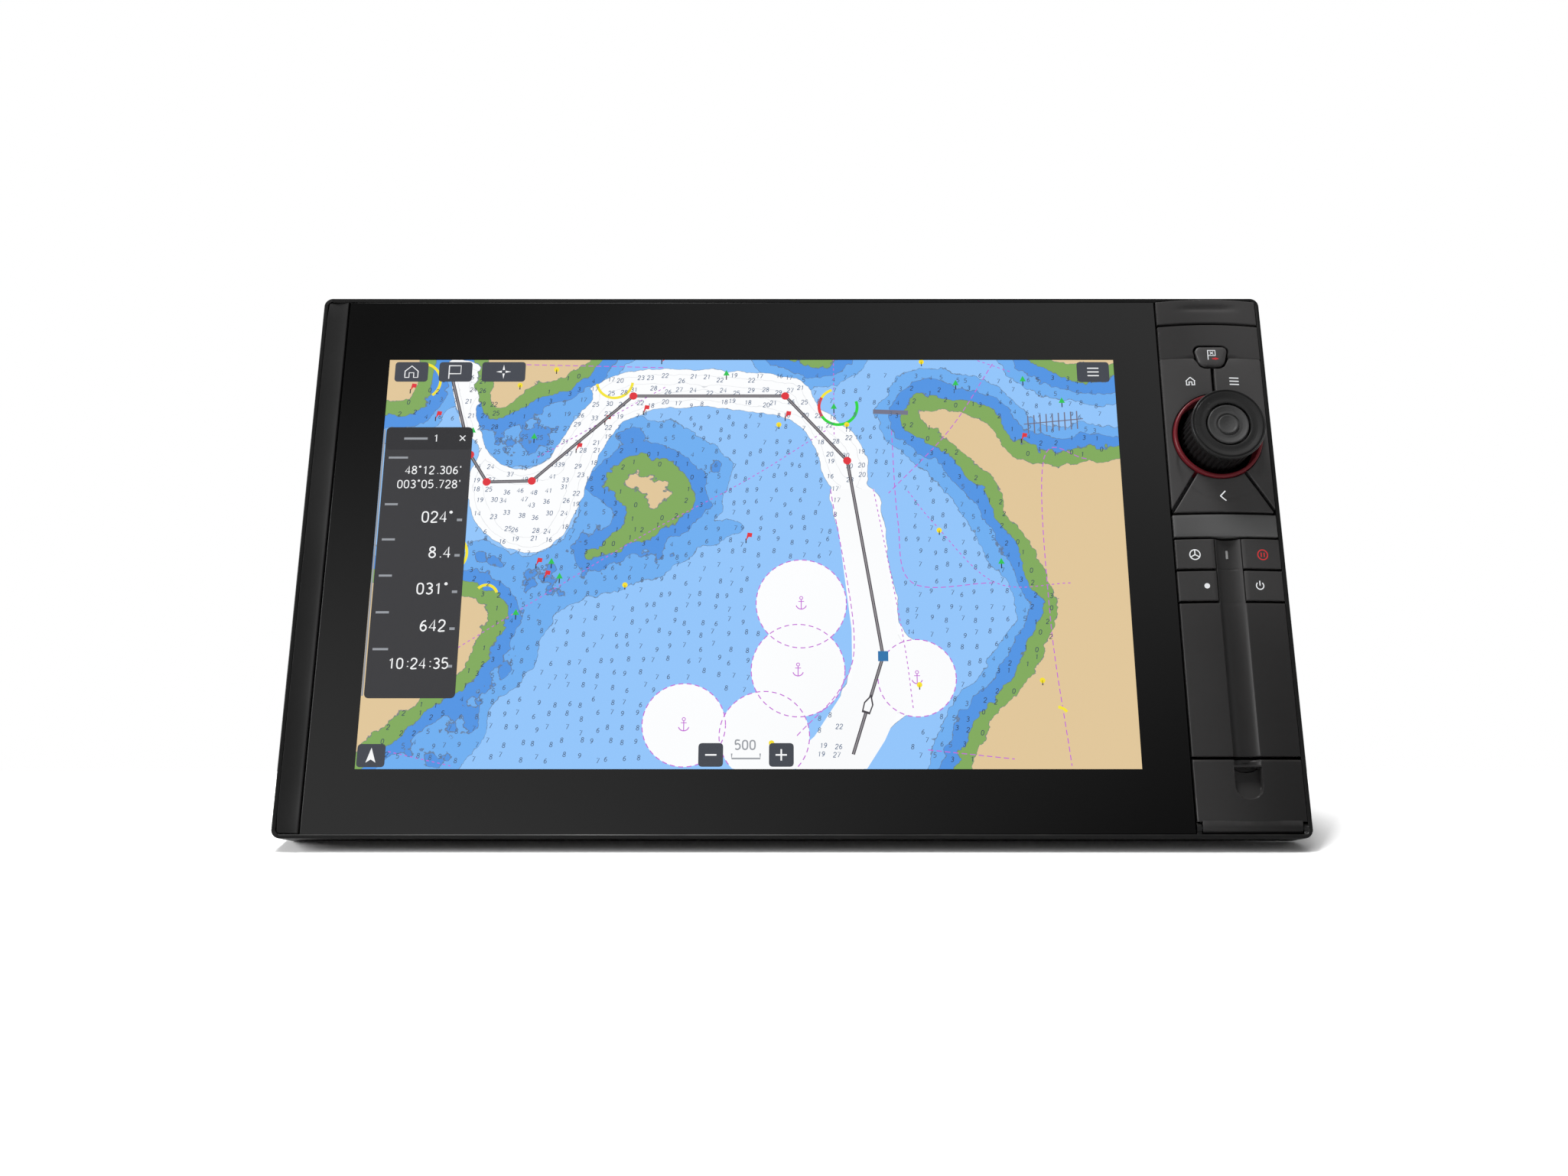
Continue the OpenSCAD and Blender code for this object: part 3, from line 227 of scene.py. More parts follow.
@dataclass
class Shell:
    """Patches gathered into one mesh, welded where their points meet."""

    points: list[Array] = field(default_factory=list)
    faces: list[Array] = field(default_factory=list)
    count: int = 0

    def patch(self, x: Array, y: Array, z: Array, wrap: bool = False) -> "Shell":
        """Adds a sheet over a grid of points, two triangles to each cell.

        Args:
            x: X of each grid point, or anything that broadcasts with y and z.
            y: Y of each grid point.
            z: Z of each grid point.
            wrap: whether the first axis closes on itself.

        Returns:
            The shell, for chaining.
        """
        x, y, z = np.broadcast_arrays(x, y, z)
        index = np.arange(x.size).reshape(x.shape) + self.count
        if wrap:
            index = np.concatenate([index, index[:1]])
        a, b, c, d = index[:-1, :-1], index[1:, :-1], index[1:, 1:], index[:-1, 1:]
        self.points.append(np.stack([x, y, z], -1).reshape(-1, 3).astype(float))
        self.faces.append(np.concatenate([np.stack([a, b, c], -1).reshape(-1, 3),
                np.stack([a, c, d], -1).reshape(-1, 3)]))
        self.count += x.size
        return self

    def fan(self, outline: Array, y: float) -> "Shell":
        """Adds a flat star-shaped sheet at depth y: triangles from the outline to its middle.

        Args:
            outline: X and Z of the points round it.
            y: its depth.

        Returns:
            The shell, for chaining.
        """
        middle = outline.mean(0)
        ring = np.stack([outline, np.broadcast_to(middle, outline.shape)], 1)
        return self.patch(ring[..., 0], y, ring[..., 1], wrap=True)

    def tile(self, x: Array, z: Array, front: Array, gap: Array, rim: Union[float, Array], back: float) -> "Shell":
        """Adds a closed plate: a front with a quarter-round edge, straight sides and a flat back.

        Args:
            x: X of the grid points.
            z: Z of the grid points.
            front: depth of the front at each point.
            gap: each point's distance from the outline.
            rim: radius of the edge.
            back: depth of the back.

        Returns:
            The shell, for chaining.
        """
        x, z, front, gap = np.broadcast_arrays(x, z, front, gap)
        y = front + round_over(gap, rim)
        self.patch(x, y, z)
        self.patch(x, np.full_like(y, back), z)
        return self.walls(x, y, z, np.full_like(y, back))

    def walls(self, x: Array, y: Array, z: Array, back: Array) -> "Shell":
        """Joins the borders of a front and a back over the same grid.

        Args:
            x: X of the grid points.
            y: depth of the front at each point.
            z: Z of the grid points.
            back: depth of the back at each point.

        Returns:
            The shell, for chaining.
        """
        for cut in (np.s_[0, :], np.s_[-1, :], np.s_[:, 0], np.s_[:, -1]):
            self.patch(np.stack([x[cut]] * 2), np.stack([y[cut], back[cut]]), np.stack([z[cut]] * 2))
        return self

    def lathe(self, profile: Array, centre: Point, turns: int = 144,
            ribs: Optional[Callable[[Array, Array], Array]] = None) -> "Shell":
        """Adds a profile of radius and depth, turned about a line along Y.

        Args:
            profile: rows of radius and depth, a closed loop.
            centre: X and Z of the line.
            turns: how many steps the full turn has.
            ribs: a radius to add for each angle and profile point.

        Returns:
            The shell, for chaining.
        """
        loop = np.vstack([profile, profile[:1]])
        angle = (np.arange(turns) * TAU / turns)[:, None]
        radius = np.broadcast_to(loop[:, 0], (turns, len(loop))).copy()
        if ribs is not None:
            radius = radius + ribs(angle, np.arange(len(loop))[None, :])
        return self.patch(centre[0] + radius * np.cos(angle), loop[:, 1], centre[1] + radius * np.sin(angle),
                wrap=True)

    def mesh(self, name: str, faces_front: bool = False, sharp: float = 32.0) -> Piece:
        """Welds the patches, drops the empty triangles and makes the object.

        Args:
            name: the piece's name.
            faces_front: for a thin print, turns every triangle to face -Y; a closed shell has its
                faces turned outwards instead.
            sharp: the angle in degrees above which an edge is shaded sharp.

        Returns:
            The new object, at the origin.
        """
        points, faces = np.concatenate(self.points), np.concatenate(self.faces)
        _, first, same = np.unique(np.round(points * 2e3).astype(np.int64), axis=0, return_index=True,
                return_inverse=True)
        points, faces = points[first], same.reshape(-1)[faces]
        whole = (faces[:, 0] != faces[:, 1]) & (faces[:, 1] != faces[:, 2]) & (faces[:, 2] != faces[:, 0])
        faces = faces[whole]
        _, once = np.unique(np.sort(faces, 1), axis=0, return_index=True)
        faces = faces[np.sort(once)]
        if faces_front:
            a, b, c = (points[faces[:, i]] for i in range(3))
            up = np.cross(b - a, c - a)[:, 1]
            faces = np.where((up > 0)[:, None], faces[:, ::-1], faces)
        data = bpy.data.meshes.new(name)
        data.vertices.add(len(points))
        data.vertices.foreach_set("co", (points * MM).astype(np.float32).ravel())
        data.loops.add(faces.size)
        data.loops.foreach_set("vertex_index", faces.astype(np.int32).ravel())
        data.polygons.add(len(faces))
        data.polygons.foreach_set("loop_start", np.arange(0, faces.size, 3, dtype=np.int32))
        data.update(calc_edges=True)
        data.validate()
        if not faces_front:
            work = bmesh.new()
            work.from_mesh(data)
            bmesh.ops.recalc_face_normals(work, faces=work.faces)
            work.to_mesh(data)
            work.free()
        return shown(name, data, sharp)


def dress(piece: Piece, body: str, finish: "Finish", replaced: Iterable[str] = ()) -> Piece:
    """Puts a piece on its body with its finish, in place of the frame's plain nodes.

    Args:
        piece: the piece.
        body: the body that it rides on.
        finish: its finish, which names the material slot.
        replaced: the frame's nodes that the piece stands for.

    Returns:
        The piece.
    """
    piece.data.materials.clear()
    piece.data.materials.append(finish.material())
    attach(piece, body)
    nodes = tuple(replaced)
    if nodes:
        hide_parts(*nodes)
    log.info("%s rides on %s in %s, %d triangles", piece.name, body, finish.slot, len(piece.data.polygons))
    return piece


# ---------------------------------------------------------------- shader groups


class NodeBench:
    """Short hands for placing and joining shader nodes in one tree."""

    def __init__(self, tree: Tree) -> None:
        """Keeps the tree that the nodes go in."""
        self.tree = tree

    def add(self, kind: str, **values: object) -> Node:
        """A node of one kind with some of its properties set.

        Args:
            kind: the node's type.
            values: its properties.

        Returns:
            The node.
        """
        node = self.tree.nodes.new(kind)
        for key, value in values.items():
            setattr(node, key, value)
        return node

    def join(self, source: Socket, target: Socket) -> None:
        """Joins an output to an input."""
        self.tree.links.new(source, target)

    def place(self) -> Socket:
        """Each point's place in the object's own space, in metres."""
        return self.add("ShaderNodeTexCoord").outputs["Object"]

    def split(self, source: Socket) -> Sequence[Socket]:
        """The three parts of a vector.

        Args:
            source: the vector.

        Returns:
            The X, Y and Z outputs.
        """
        node = self.add("ShaderNodeSeparateXYZ")
        self.join(source, node.inputs[0])
        return node.outputs

    def noise(self, place: Socket, scale: float, detail: float = 2.0) -> Socket:
        """Soft noise of about 0.5 on average.

        Args:
            place: where it is taken.
            scale: how many of its lumps fit in a metre.
            detail: how many finer layers it has.

        Returns:
            The noise.
        """
        node = self.add("ShaderNodeTexNoise")
        node.inputs["Scale"].default_value = scale
        node.inputs["Detail"].default_value = detail
        self.join(place, node.inputs["Vector"])
        return node.outputs["Fac"]

    def set(self, node: Node, **values: object) -> None:
        """Sets inputs by name, with underscores for the spaces in a name."""
        for key, value in values.items():
            node.inputs[key.replace("_", " ")].default_value = value

    def maths(self, operation: str, first: object, second: object = 0.0) -> Socket:
        """The result of one sum; each input is a socket or a number.

        Args:
            operation: the sum to do.
            first: its first input.
            second: its second input.

        Returns:
            The result.
        """
        node = self.add("ShaderNodeMath", operation=operation)
        for socket, value in zip(node.inputs, (first, second)):
            if isinstance(value, Socket):
                self.join(value, socket)
            else:
                socket.default_value = value
        return node.outputs[0]

    def ranged(self, value: Socket, low: float, high: float, start: float = 0.0, end: float = 1.0) -> Socket:
        """A value carried from the range low..high to the range start..end, and held there.

        Args:
            value: the value.
            low: the low end of its range.
            high: the high end.
            start: what the low end becomes.
            end: what the high end becomes.

        Returns:
            The new value.
        """
        node = self.add("ShaderNodeMapRange", interpolation_type="SMOOTHSTEP")
        self.join(value, node.inputs[0])
        for place, number in zip((1, 2, 3, 4), (low, high, start, end)):
            node.inputs[place].default_value = number
        return node.outputs[0]

    def mixed(self, share: object, first: object, second: object) -> Socket:
        """A colour between two colours; each input is a socket or a value.

        Args:
            share: how much of the second colour is in it.
            first: the first colour.
            second: the second colour.

        Returns:
            The mixed colour.
        """
        node = self.add("ShaderNodeMix", data_type="RGBA")
        for socket, value in ((node.inputs[0], share), (node.inputs[6], first), (node.inputs[7], second)):
            if isinstance(value, Socket):
                self.join(value, socket)
            else:
                socket.default_value = value
        return node.outputs[2]


def new_group(name: str, inputs: Sequence[tuple[str, str, object]], outputs: Sequence[tuple[str, str]]) -> tuple[Tree,
        NodeBench, Node, Node]:
    """An empty shader group with named sockets.

    Args:
        name: the group's name.
        inputs: name, socket kind and default of each input.
        outputs: name and socket kind of each output.

    Returns:
        The group, its bench, and its input and output nodes.
    """
    tree = bpy.data.node_groups.new(name, "ShaderNodeTree")
    for label, kind, default in inputs:
        tree.interface.new_socket(label, in_out="INPUT", socket_type=kind).default_value = default
    for label, kind in outputs:
        tree.interface.new_socket(label, in_out="OUTPUT", socket_type=kind)
    bench = NodeBench(tree)
    return tree, bench, bench.add("NodeGroupInput"), bench.add("NodeGroupOutput")


FLOAT = "NodeSocketFloat"


def grain_group() -> Tree:
    """Fine moulded grain: its height, and a slow change of tone across the piece.

    Returns:
        The group.
    """
    tree, b, inp, out = new_group("fine_grain", [("Scale", FLOAT, 2500.0), ("Stretch", FLOAT, 1.0)],
            [("Height", FLOAT), ("Tone", FLOAT)])
    place = b.place()
    stretch = b.add("ShaderNodeCombineXYZ")
    stretch.inputs[1].default_value = 1.0
    stretch.inputs[2].default_value = 1.0
    b.join(inp.outputs["Stretch"], stretch.inputs[0])
    scaled = b.add("ShaderNodeVectorMath", operation="MULTIPLY")
    b.join(place, scaled.inputs[0])
    b.join(stretch.outputs[0], scaled.inputs[1])
    fine = b.add("ShaderNodeTexNoise")
    fine.inputs["Detail"].default_value = 3.0
    b.join(scaled.outputs[0], fine.inputs["Vector"])
    b.join(inp.outputs["Scale"], fine.inputs["Scale"])
    b.join(fine.outputs["Fac"], out.inputs["Height"])
    b.join(b.ranged(b.noise(place, 14.0), 0.3, 0.7), out.inputs["Tone"])
    return tree


def wear_group() -> Tree:
    """Polished, slightly paler edges: convex places, broken up by noise.

    Returns:
        The group.
    """
    tree, b, inp, out = new_group("edge_wear", [("Amount", FLOAT, 0.5)], [("Mask", FLOAT)])
    shape = b.add("ShaderNodeNewGeometry")
    convex = b.ranged(shape.outputs["Pointiness"], 0.505, 0.62)
    broken = b.ranged(b.noise(b.place(), 120.0), 0.35, 0.65, 0.35, 1.0)
    b.join(b.maths("MULTIPLY", b.maths("MULTIPLY", convex, broken), inp.outputs["Amount"]), out.inputs["Mask"])
    return tree


def dust_group() -> Tree:
    """A thin film of dust where a surface faces up, in soft patches.

    Returns:
        The group.
    """
    tree, b, inp, out = new_group("dust_film", [("Amount", FLOAT, 0.2)], [("Mask", FLOAT)])
    shape = b.add("ShaderNodeNewGeometry")
    upward = b.ranged(b.split(shape.outputs["Normal"])[2], 0.1, 0.95)
    soft = b.ranged(b.noise(b.place(), 60.0, 5.0), 0.4, 0.75)
    b.join(b.maths("MULTIPLY", b.maths("MULTIPLY", upward, soft), inp.outputs["Amount"]), out.inputs["Mask"])
    return tree


GRAIN_HEIGHT = 0.00008
# The key column's span and the front's half sizes, in metres, over which the painted light and shade and the painted
# reflection are spread.
COLUMN_SPAN = (0.176, 0.224)
FRONT_HALF = (0.213, 0.126)
WHITE: Colour = (1.0, 1.0, 1.0, 1.0)
_groups: dict[str, Tree] = {}


def shared_group(name: str, maker: Callable[[], Tree]) -> Tree:
    """The group of that name, made the first time that it is asked for.

    Args:
        name: the group's name.
        maker: makes the group.

    Returns:
        The group.
    """
    if name not in _groups:
        _groups[name] = maker()
    return _groups[name]


# ---------------------------------------------------------------- finishes

_materials: dict[str, bpy.types.Material] = {}


def fresh_material(name: str) -> tuple[bpy.types.Material, NodeBench, Node]:
    """Makes a material and keeps it by its name.

    Args:
        name: the material's name.

    Returns:
        The material, its bench and its main shader.
    """
    made = bpy.data.materials.new(name)
    made.use_nodes = True
    _materials[name] = made
    return made, NodeBench(made.node_tree), made.node_tree.nodes["Principled BSDF"]


@dataclass(frozen=True)
class Finish:
    """A moulded, painted, metal or rubber surface: one colour with its grain, wear and dust, and on some pieces
    painted light and shade or a painted reflection.
    """

    name: str
    slot: str
    colour: Colour
    rough: float = 0.5
    metallic: float = 0.0
    specular: float = 0.5
    grain_scale: float = 2500.0
    grain_depth: float = 0.15
    grain_stretch: float = 1.0
    tone: float = 0.12
    wear: float = 0.25
    dust: float = 0.06
    coat: float = 0.0
    glow: float = 0.0
    # Painted light and shade: shares of the colour at the key column's top left, top right, bottom left and bottom
    # right.
    corners: tuple[float, ...] = ()
    # Strength of a painted reflection: a white glow towards the upper right and lower left of the front.
    sheen: float = 0.0

    def material(self) -> bpy.types.Material:
        """The finish's material, made once.

        Returns:
            The material.
        """
        if self.name in _materials:
            return _materials[self.name]
        made, b, shader = fresh_material(self.name)
        grain = b.add("ShaderNodeGroup", node_tree=shared_group("fine_grain", grain_group))
        b.set(grain, Scale=self.grain_scale, Stretch=self.grain_stretch)
        wear = b.add("ShaderNodeGroup", node_tree=shared_group("edge_wear", wear_group))
        b.set(wear, Amount=self.wear)
        dust = b.add("ShaderNodeGroup", node_tree=shared_group("dust_film", dust_group))
        b.set(dust, Amount=self.dust)
        r, g, bl, _ = self.colour
        low = (r * (1 - self.tone), g * (1 - self.tone), bl * (1 - self.tone), 1.0)
        high = (r * (1 + self.tone), g * (1 + self.tone), bl * (1 + self.tone), 1.0)
        base = b.mixed(grain.outputs["Tone"], low, high)
        # Painted light and shade over the key column, from the corner shares.
        if self.corners:
            base = self.corner_tones(b, base)
        paler = (min(1.0, r * 1.5 + 0.02), min(1.0, g * 1.5 + 0.02), min(1.0, bl * 1.5 + 0.02), 1.0)
        base = b.mixed(wear.outputs["Mask"], base, paler)
        base = b.mixed(dust.outputs["Mask"], base, tint(150, 146, 138))
        # A painted reflection on the glass, glowing towards its upper right and lower left.
        if self.sheen:
            self.corner_sheen(b, shader)
        b.join(base, shader.inputs["Base Color"])
        rough = b.ranged(grain.outputs["Tone"], 0.0, 1.0, max(0.02, self.rough - 0.06), min(1.0, self.rough + 0.06))
        rough = b.maths("ADD", rough, b.maths("MULTIPLY", dust.outputs["Mask"], 0.35))
        rough = b.maths("SUBTRACT", rough, b.maths("MULTIPLY", wear.outputs["Mask"], 0.15))
        b.join(rough, shader.inputs["Roughness"])
        bump = b.add("ShaderNodeBump")
        b.set(bump, Strength=self.grain_depth, Distance=GRAIN_HEIGHT)
        b.join(grain.outputs["Height"], bump.inputs["Height"])
        b.join(bump.outputs["Normal"], shader.inputs["Normal"])
        b.set(shader, Metallic=self.metallic, Specular_IOR_Level=self.specular, Coat_Weight=self.coat,
                Coat_Roughness=0.12)
        if self.glow:
            b.join(base, shader.inputs["Emission Color"])
            b.set(shader, Emission_Strength=self.glow)
        return made

    def corner_tones(self, b: NodeBench, base: Socket) -> Socket:
        """Paints light and shade onto the key column: scales the colour by a share for each of its four corners.

        Args:
            b: the material's bench.
            base: the colour to scale.

        Returns:
            The scaled colour.
        """
        parts = b.split(b.place())
        across = b.ranged(parts[0], *COLUMN_SPAN)
        up = b.ranged(parts[2], -FRONT_HALF[1], FRONT_HALF[1])
        grey = [(share, share, share, 1.0) for share in self.corners]
        scale = b.mixed(up, b.mixed(across, grey[2], grey[3]), b.mixed(across, grey[0], grey[1]))
        scaled = b.add("ShaderNodeMix", data_type="RGBA", blend_type="MULTIPLY", clamp_result=False)
        scaled.inputs[0].default_value = 1.0
        b.join(base, scaled.inputs[6])
        b.join(scale, scaled.inputs[7])
        return scaled.outputs[2]

    def corner_sheen(self, b: NodeBench, shader: Node) -> None:
        """Adds a painted reflection: a white glow that grows towards the upper right and lower left corners.

        Args:
            b: the material's bench.
            shader: its main shader, whose emission carries the painted reflection.
        """
        parts = b.split(b.place())
        shares = [b.maths("MULTIPLY", part, 1 / half) for part, half in zip((parts[0], parts[2]), FRONT_HALF)]
        across = b.maths("MULTIPLY", *shares)
        share = b.ranged(across, -1.0, 1.0)
        b.set(shader, Emission_Color=WHITE)
        b.join(b.maths("MULTIPLY", share, self.sheen), shader.inputs["Emission Strength"])


@dataclass(frozen=True)
class BoardFinish(Finish):
    """A circuit board: solder mask with fine tracks and rows of tinned pads."""

    def material(self) -> bpy.types.Material:
        """The board's material: tracks from a stepped wave, pads from a cell pattern.

        Returns:
            The material.
        """
        fresh = self.name not in _materials
        made = super().material()
        if not fresh:
            return made
        b = NodeBench(made.node_tree)
        shader = made.node_tree.nodes["Principled BSDF"]
        source = shader.inputs["Base Color"].links[0].from_socket
        place = b.place()
        tracks = b.add("ShaderNodeTexBrick")
        b.set(tracks, Scale=160.0, Mortar_Size=0.06)
        turned = b.add("ShaderNodeMapping")
        b.set(turned, Rotation=(math.radians(90), 0.0, 0.0))
        b.join(place, turned.inputs[0])
        b.join(turned.outputs[0], tracks.inputs["Vector"])
        line = b.mixed(tracks.outputs["Fac"], source, tint(38, 120, 66))
        pads = b.add("ShaderNodeTexVoronoi")
        b.set(pads, Scale=380.0)
        b.join(turned.outputs[0], pads.inputs["Vector"])
        dots = b.maths("LESS_THAN", pads.outputs["Distance"], 0.16)
        picked = b.maths("MULTIPLY", dots, b.maths("GREATER_THAN", b.noise(place, 45.0), 0.52))
        colour = b.mixed(picked, line, tint(196, 190, 170))
        b.join(colour, shader.inputs["Base Color"])
        b.join(picked, shader.inputs["Metallic"])
        return made


LIT_BASE: dict[str, object] = {"Base_Color": (0.01, 0.01, 0.012, 1.0), "Roughness": 0.16, "Specular_IOR_Level": 0.3}


@dataclass(frozen=True)
class PictureFinish:
    """A lit, printed area of the screen: its colour glows, under the gloss of the glass."""

    name: str
    colour: Colour
    glow: float = 0.97
    slot: str = "display_cell"

    def material(self) -> bpy.types.Material:
        """The lit material: a dark glossy base whose emission is the picture's colour.

        Returns:
            The material.
        """
        if self.name in _materials:
            return _materials[self.name]
        made, b, shader = fresh_material(self.name)
        r, g, bl, _ = self.colour
        shaded = b.mixed(b.ranged(b.noise(b.place(), 6.0), 0.3, 0.7), (r * 0.96, g * 0.96, bl * 0.96, 1.0),
                self.colour)
        b.join(shaded, shader.inputs["Emission Color"])
        b.set(shader, Emission_Strength=self.glow, **LIT_BASE)
        return made


@dataclass(frozen=True)
class SeaFinish:
    """The chart's ground: bands of colour over two heights stored on the mesh."""

    name: str = "chart_ground"
    slot: str = "display_cell"
    glow: float = 0.97
    land: Colour = tint(224, 197, 150)
    drying: Colour = tint(124, 168, 82)
    shoal: Colour = tint(70, 144, 226)
    shallow: Colour = tint(104, 172, 240)
    water: Colour = tint(142, 195, 250)
    deep: Colour = tint(252, 253, 254)

    def material(self) -> bpy.types.Material:
        """The ground's material.

        The height "ground" is the distance inside the coast and "deep" the distance inside deep
        water, each shaken a little by noise and then cut into bands.

        Returns:
            The material.
        """
        if self.name in _materials:
            return _materials[self.name]
        made, b, shader = fresh_material(self.name)
        place = b.place()

        def shaken(attribute: str, coarse: float, fine: float, reach: float) -> Socket:
            """A stored height plus noise of two sizes.

            Args:
                attribute: the height's name.
                coarse: scale of the large noise.
                fine: scale of the small noise.
                reach: how far the noise moves the height.

            Returns:
                The shaken height.
            """
            stored = b.add("ShaderNodeAttribute", attribute_name=attribute)
            total = stored.outputs["Fac"]
            for scale, share in ((coarse, reach), (fine, reach * 0.45)):
                centred = b.maths("SUBTRACT", b.noise(place, scale, 4.0), 0.5)
                total = b.maths("ADD", total, b.maths("MULTIPLY", centred, share))
            return total

        ground = shaken("ground", 60.0, 220.0, 12.0)
        deep = shaken("deep", 40.0, 160.0, 5.0)
        colour = self.water
        edges: list[tuple[Socket, float, Colour]] = [
            (ground, -12.0, self.shallow), (ground, -6.0, self.shoal), (deep, 0.0, self.deep),
            (ground, 0.0, self.drying), (ground, 6.8, self.land),
        ]
        line_colour = tint(96, 110, 128)
        for source, level, paint in edges:
            above = b.maths("GREATER_THAN", source, level)
            colour = b.mixed(above, colour, paint)
            near = b.maths("LESS_THAN", b.maths("ABSOLUTE", b.maths("SUBTRACT", source, level)),
                    0.16 if source is ground else 0.1)
            colour = b.mixed(b.maths("MULTIPLY", near, 0.75), colour, line_colour)
        for level in (3.0, 7.5):
            near = b.maths("LESS_THAN", b.maths("ABSOLUTE", b.maths("SUBTRACT", deep, level)), 0.09)
            sea = b.maths("MULTIPLY", near, b.maths("LESS_THAN", ground, 0.0))
            colour = b.mixed(b.maths("MULTIPLY", sea, 0.32), colour, line_colour)
        b.join(colour, shader.inputs["Emission Color"])
        b.set(shader, Emission_Strength=self.glow, **LIT_BASE)
        return made


class Look(Enum):
    """The finishes of the display's own pieces and nodes."""

    BEZEL = Finish("satin_bezel", "bezel_plastic", tint(14), rough=0.36, specular=0.1, grain_scale=3200,
            grain_depth=0.12)
    TRIM = Finish("satin_trim", "bezel_plastic", tint(27), rough=0.34, specular=0.08, grain_depth=0.08)
    # Its corner shares are painted light and shade: lightest at the top right, darkest at the bottom right.
    COLUMN = Finish("satin_column", "column_plastic", tint(72, 71, 71), rough=0.42, specular=0.1, grain_scale=2800,
            corners=(0.38, 0.7, 0.42, 0.15))
    # Its corner shares are painted light and shade: darker on the left than on the right.
    PLATE = Finish("name_plate_grey", "plate_plastic", tint(88), rough=0.5, specular=0.12, grain_scale=2800,
            grain_depth=0.2, corners=(0.64, 0.98, 0.64, 0.98))
    # Its corner shares are painted light and shade: lightest at the top right, darkest at the bottom right.
    KEY = Finish("satin_key", "key_plastic", tint(72, 71, 71), rough=0.42, specular=0.1, grain_scale=2800,
            corners=(0.66, 1.0, 0.42, 0.2))
    KNOB = Finish("satin_knob", "knob_plastic", tint(33), rough=0.28, specular=0.12, grain_depth=0.06, wear=0.9)
    DISC = Finish("satin_disc", "knob_plastic", tint(60), rough=0.3, specular=0.12, grain_depth=0.06)
    # The glass's glow is a painted reflection.
    GLASS = Finish("bonded_glass", "cover_glass", tint(4), rough=0.1, specular=0.05, grain_scale=900, grain_depth=0.0,
            tone=0.02, wear=0.0, dust=0.0, sheen=0.026)
    PRINT = Finish("black_border", "black_print", tint(8, 8, 9), rough=0.3, wear=0.0)
    GEL = Finish("clear_gel", "clear_gel", tint(196, 205, 210), rough=0.12, wear=0.0, dust=0.0, coat=0.5)
    CELL = Finish("display_cell", "display_cell", tint(34, 48, 66), rough=0.2, wear=0.0, coat=0.4)
    SHEET = Finish("zinc_sheet", "sheet_steel", tint(168, 170, 174), rough=0.34, metallic=1.0, grain_scale=700,
            grain_stretch=0.06, grain_depth=0.12)
    CAST = Finish("powder_coat", "cast_paint", tint(46, 48, 52), rough=0.55, grain_scale=1500, grain_depth=0.45,
            dust=0.12, wear=0.35)
    RUBBER = Finish("black_rubber", "black_rubber", tint(20), rough=0.72, specular=0.25, grain_scale=1800,
            grain_depth=0.3, wear=0.1, dust=0.12)
    GRIP = Finish("grip_rubber", "black_rubber", tint(14), rough=0.5, specular=0.16, grain_scale=2200,
            grain_depth=0.25, wear=0.15)
    SILICONE = Finish("grey_silicone", "grey_rubber", tint(96, 96, 98), rough=0.65, grain_scale=1500, grain_depth=0.2,
            wear=0.05)
    RED = Finish("red_light_pipe", "red_light", tint(84, 22, 28), rough=0.35, specular=0.15, grain_depth=0.05,
            wear=0.0, glow=0.1)
    PIPE = Finish("grey_light_pipe", "grey_light", tint(128), rough=0.3, grain_depth=0.05, wear=0.0, coat=0.3)
    BOARD = BoardFinish("green_board", "circuit_board", tint(18, 84, 46), rough=0.35, grain_depth=0.1, wear=0.05)
    CHIP = Finish("moulded_chip", "chip_black", tint(28, 28, 30), rough=0.55, grain_scale=3000, grain_depth=0.2)
    PAD = Finish("thermal_pad", "pad_grey", tint(142, 152, 166), rough=0.8, grain_scale=900, grain_depth=0.4,
            wear=0.0)
    PART = Finish("blue_sleeve", "component_blue", tint(38, 66, 130), rough=0.3, coat=0.3, grain_depth=0.05)
    STEEL = Finish("bright_steel", "bright_steel", tint(188, 190, 194), rough=0.22, metallic=1.0, grain_scale=900,
            grain_stretch=0.1, grain_depth=0.08)
    BRASS = Finish("turned_brass", "brass", tint(206, 172, 104), rough=0.25, metallic=1.0, grain_scale=900,
            grain_depth=0.08)
    ALUMINIUM = Finish("machined_aluminium", "aluminium", tint(184, 187, 191), rough=0.3, metallic=1.0,
            grain_scale=800, grain_stretch=0.08, grain_depth=0.12)
    CERAMIC = Finish("antenna_ceramic", "antenna_ceramic", tint(200, 184, 150), rough=0.5, grain_scale=1800)
    NYLON = Finish("glass_filled_nylon", "connector_plastic", tint(38, 39, 42), rough=0.55, grain_scale=1600,
            grain_depth=0.35, wear=0.3)
    FILM = Finish("amber_film", "flat_cable", tint(190, 128, 52), rough=0.25, coat=0.4, grain_scale=500,
            grain_stretch=12.0, grain_depth=0.2)


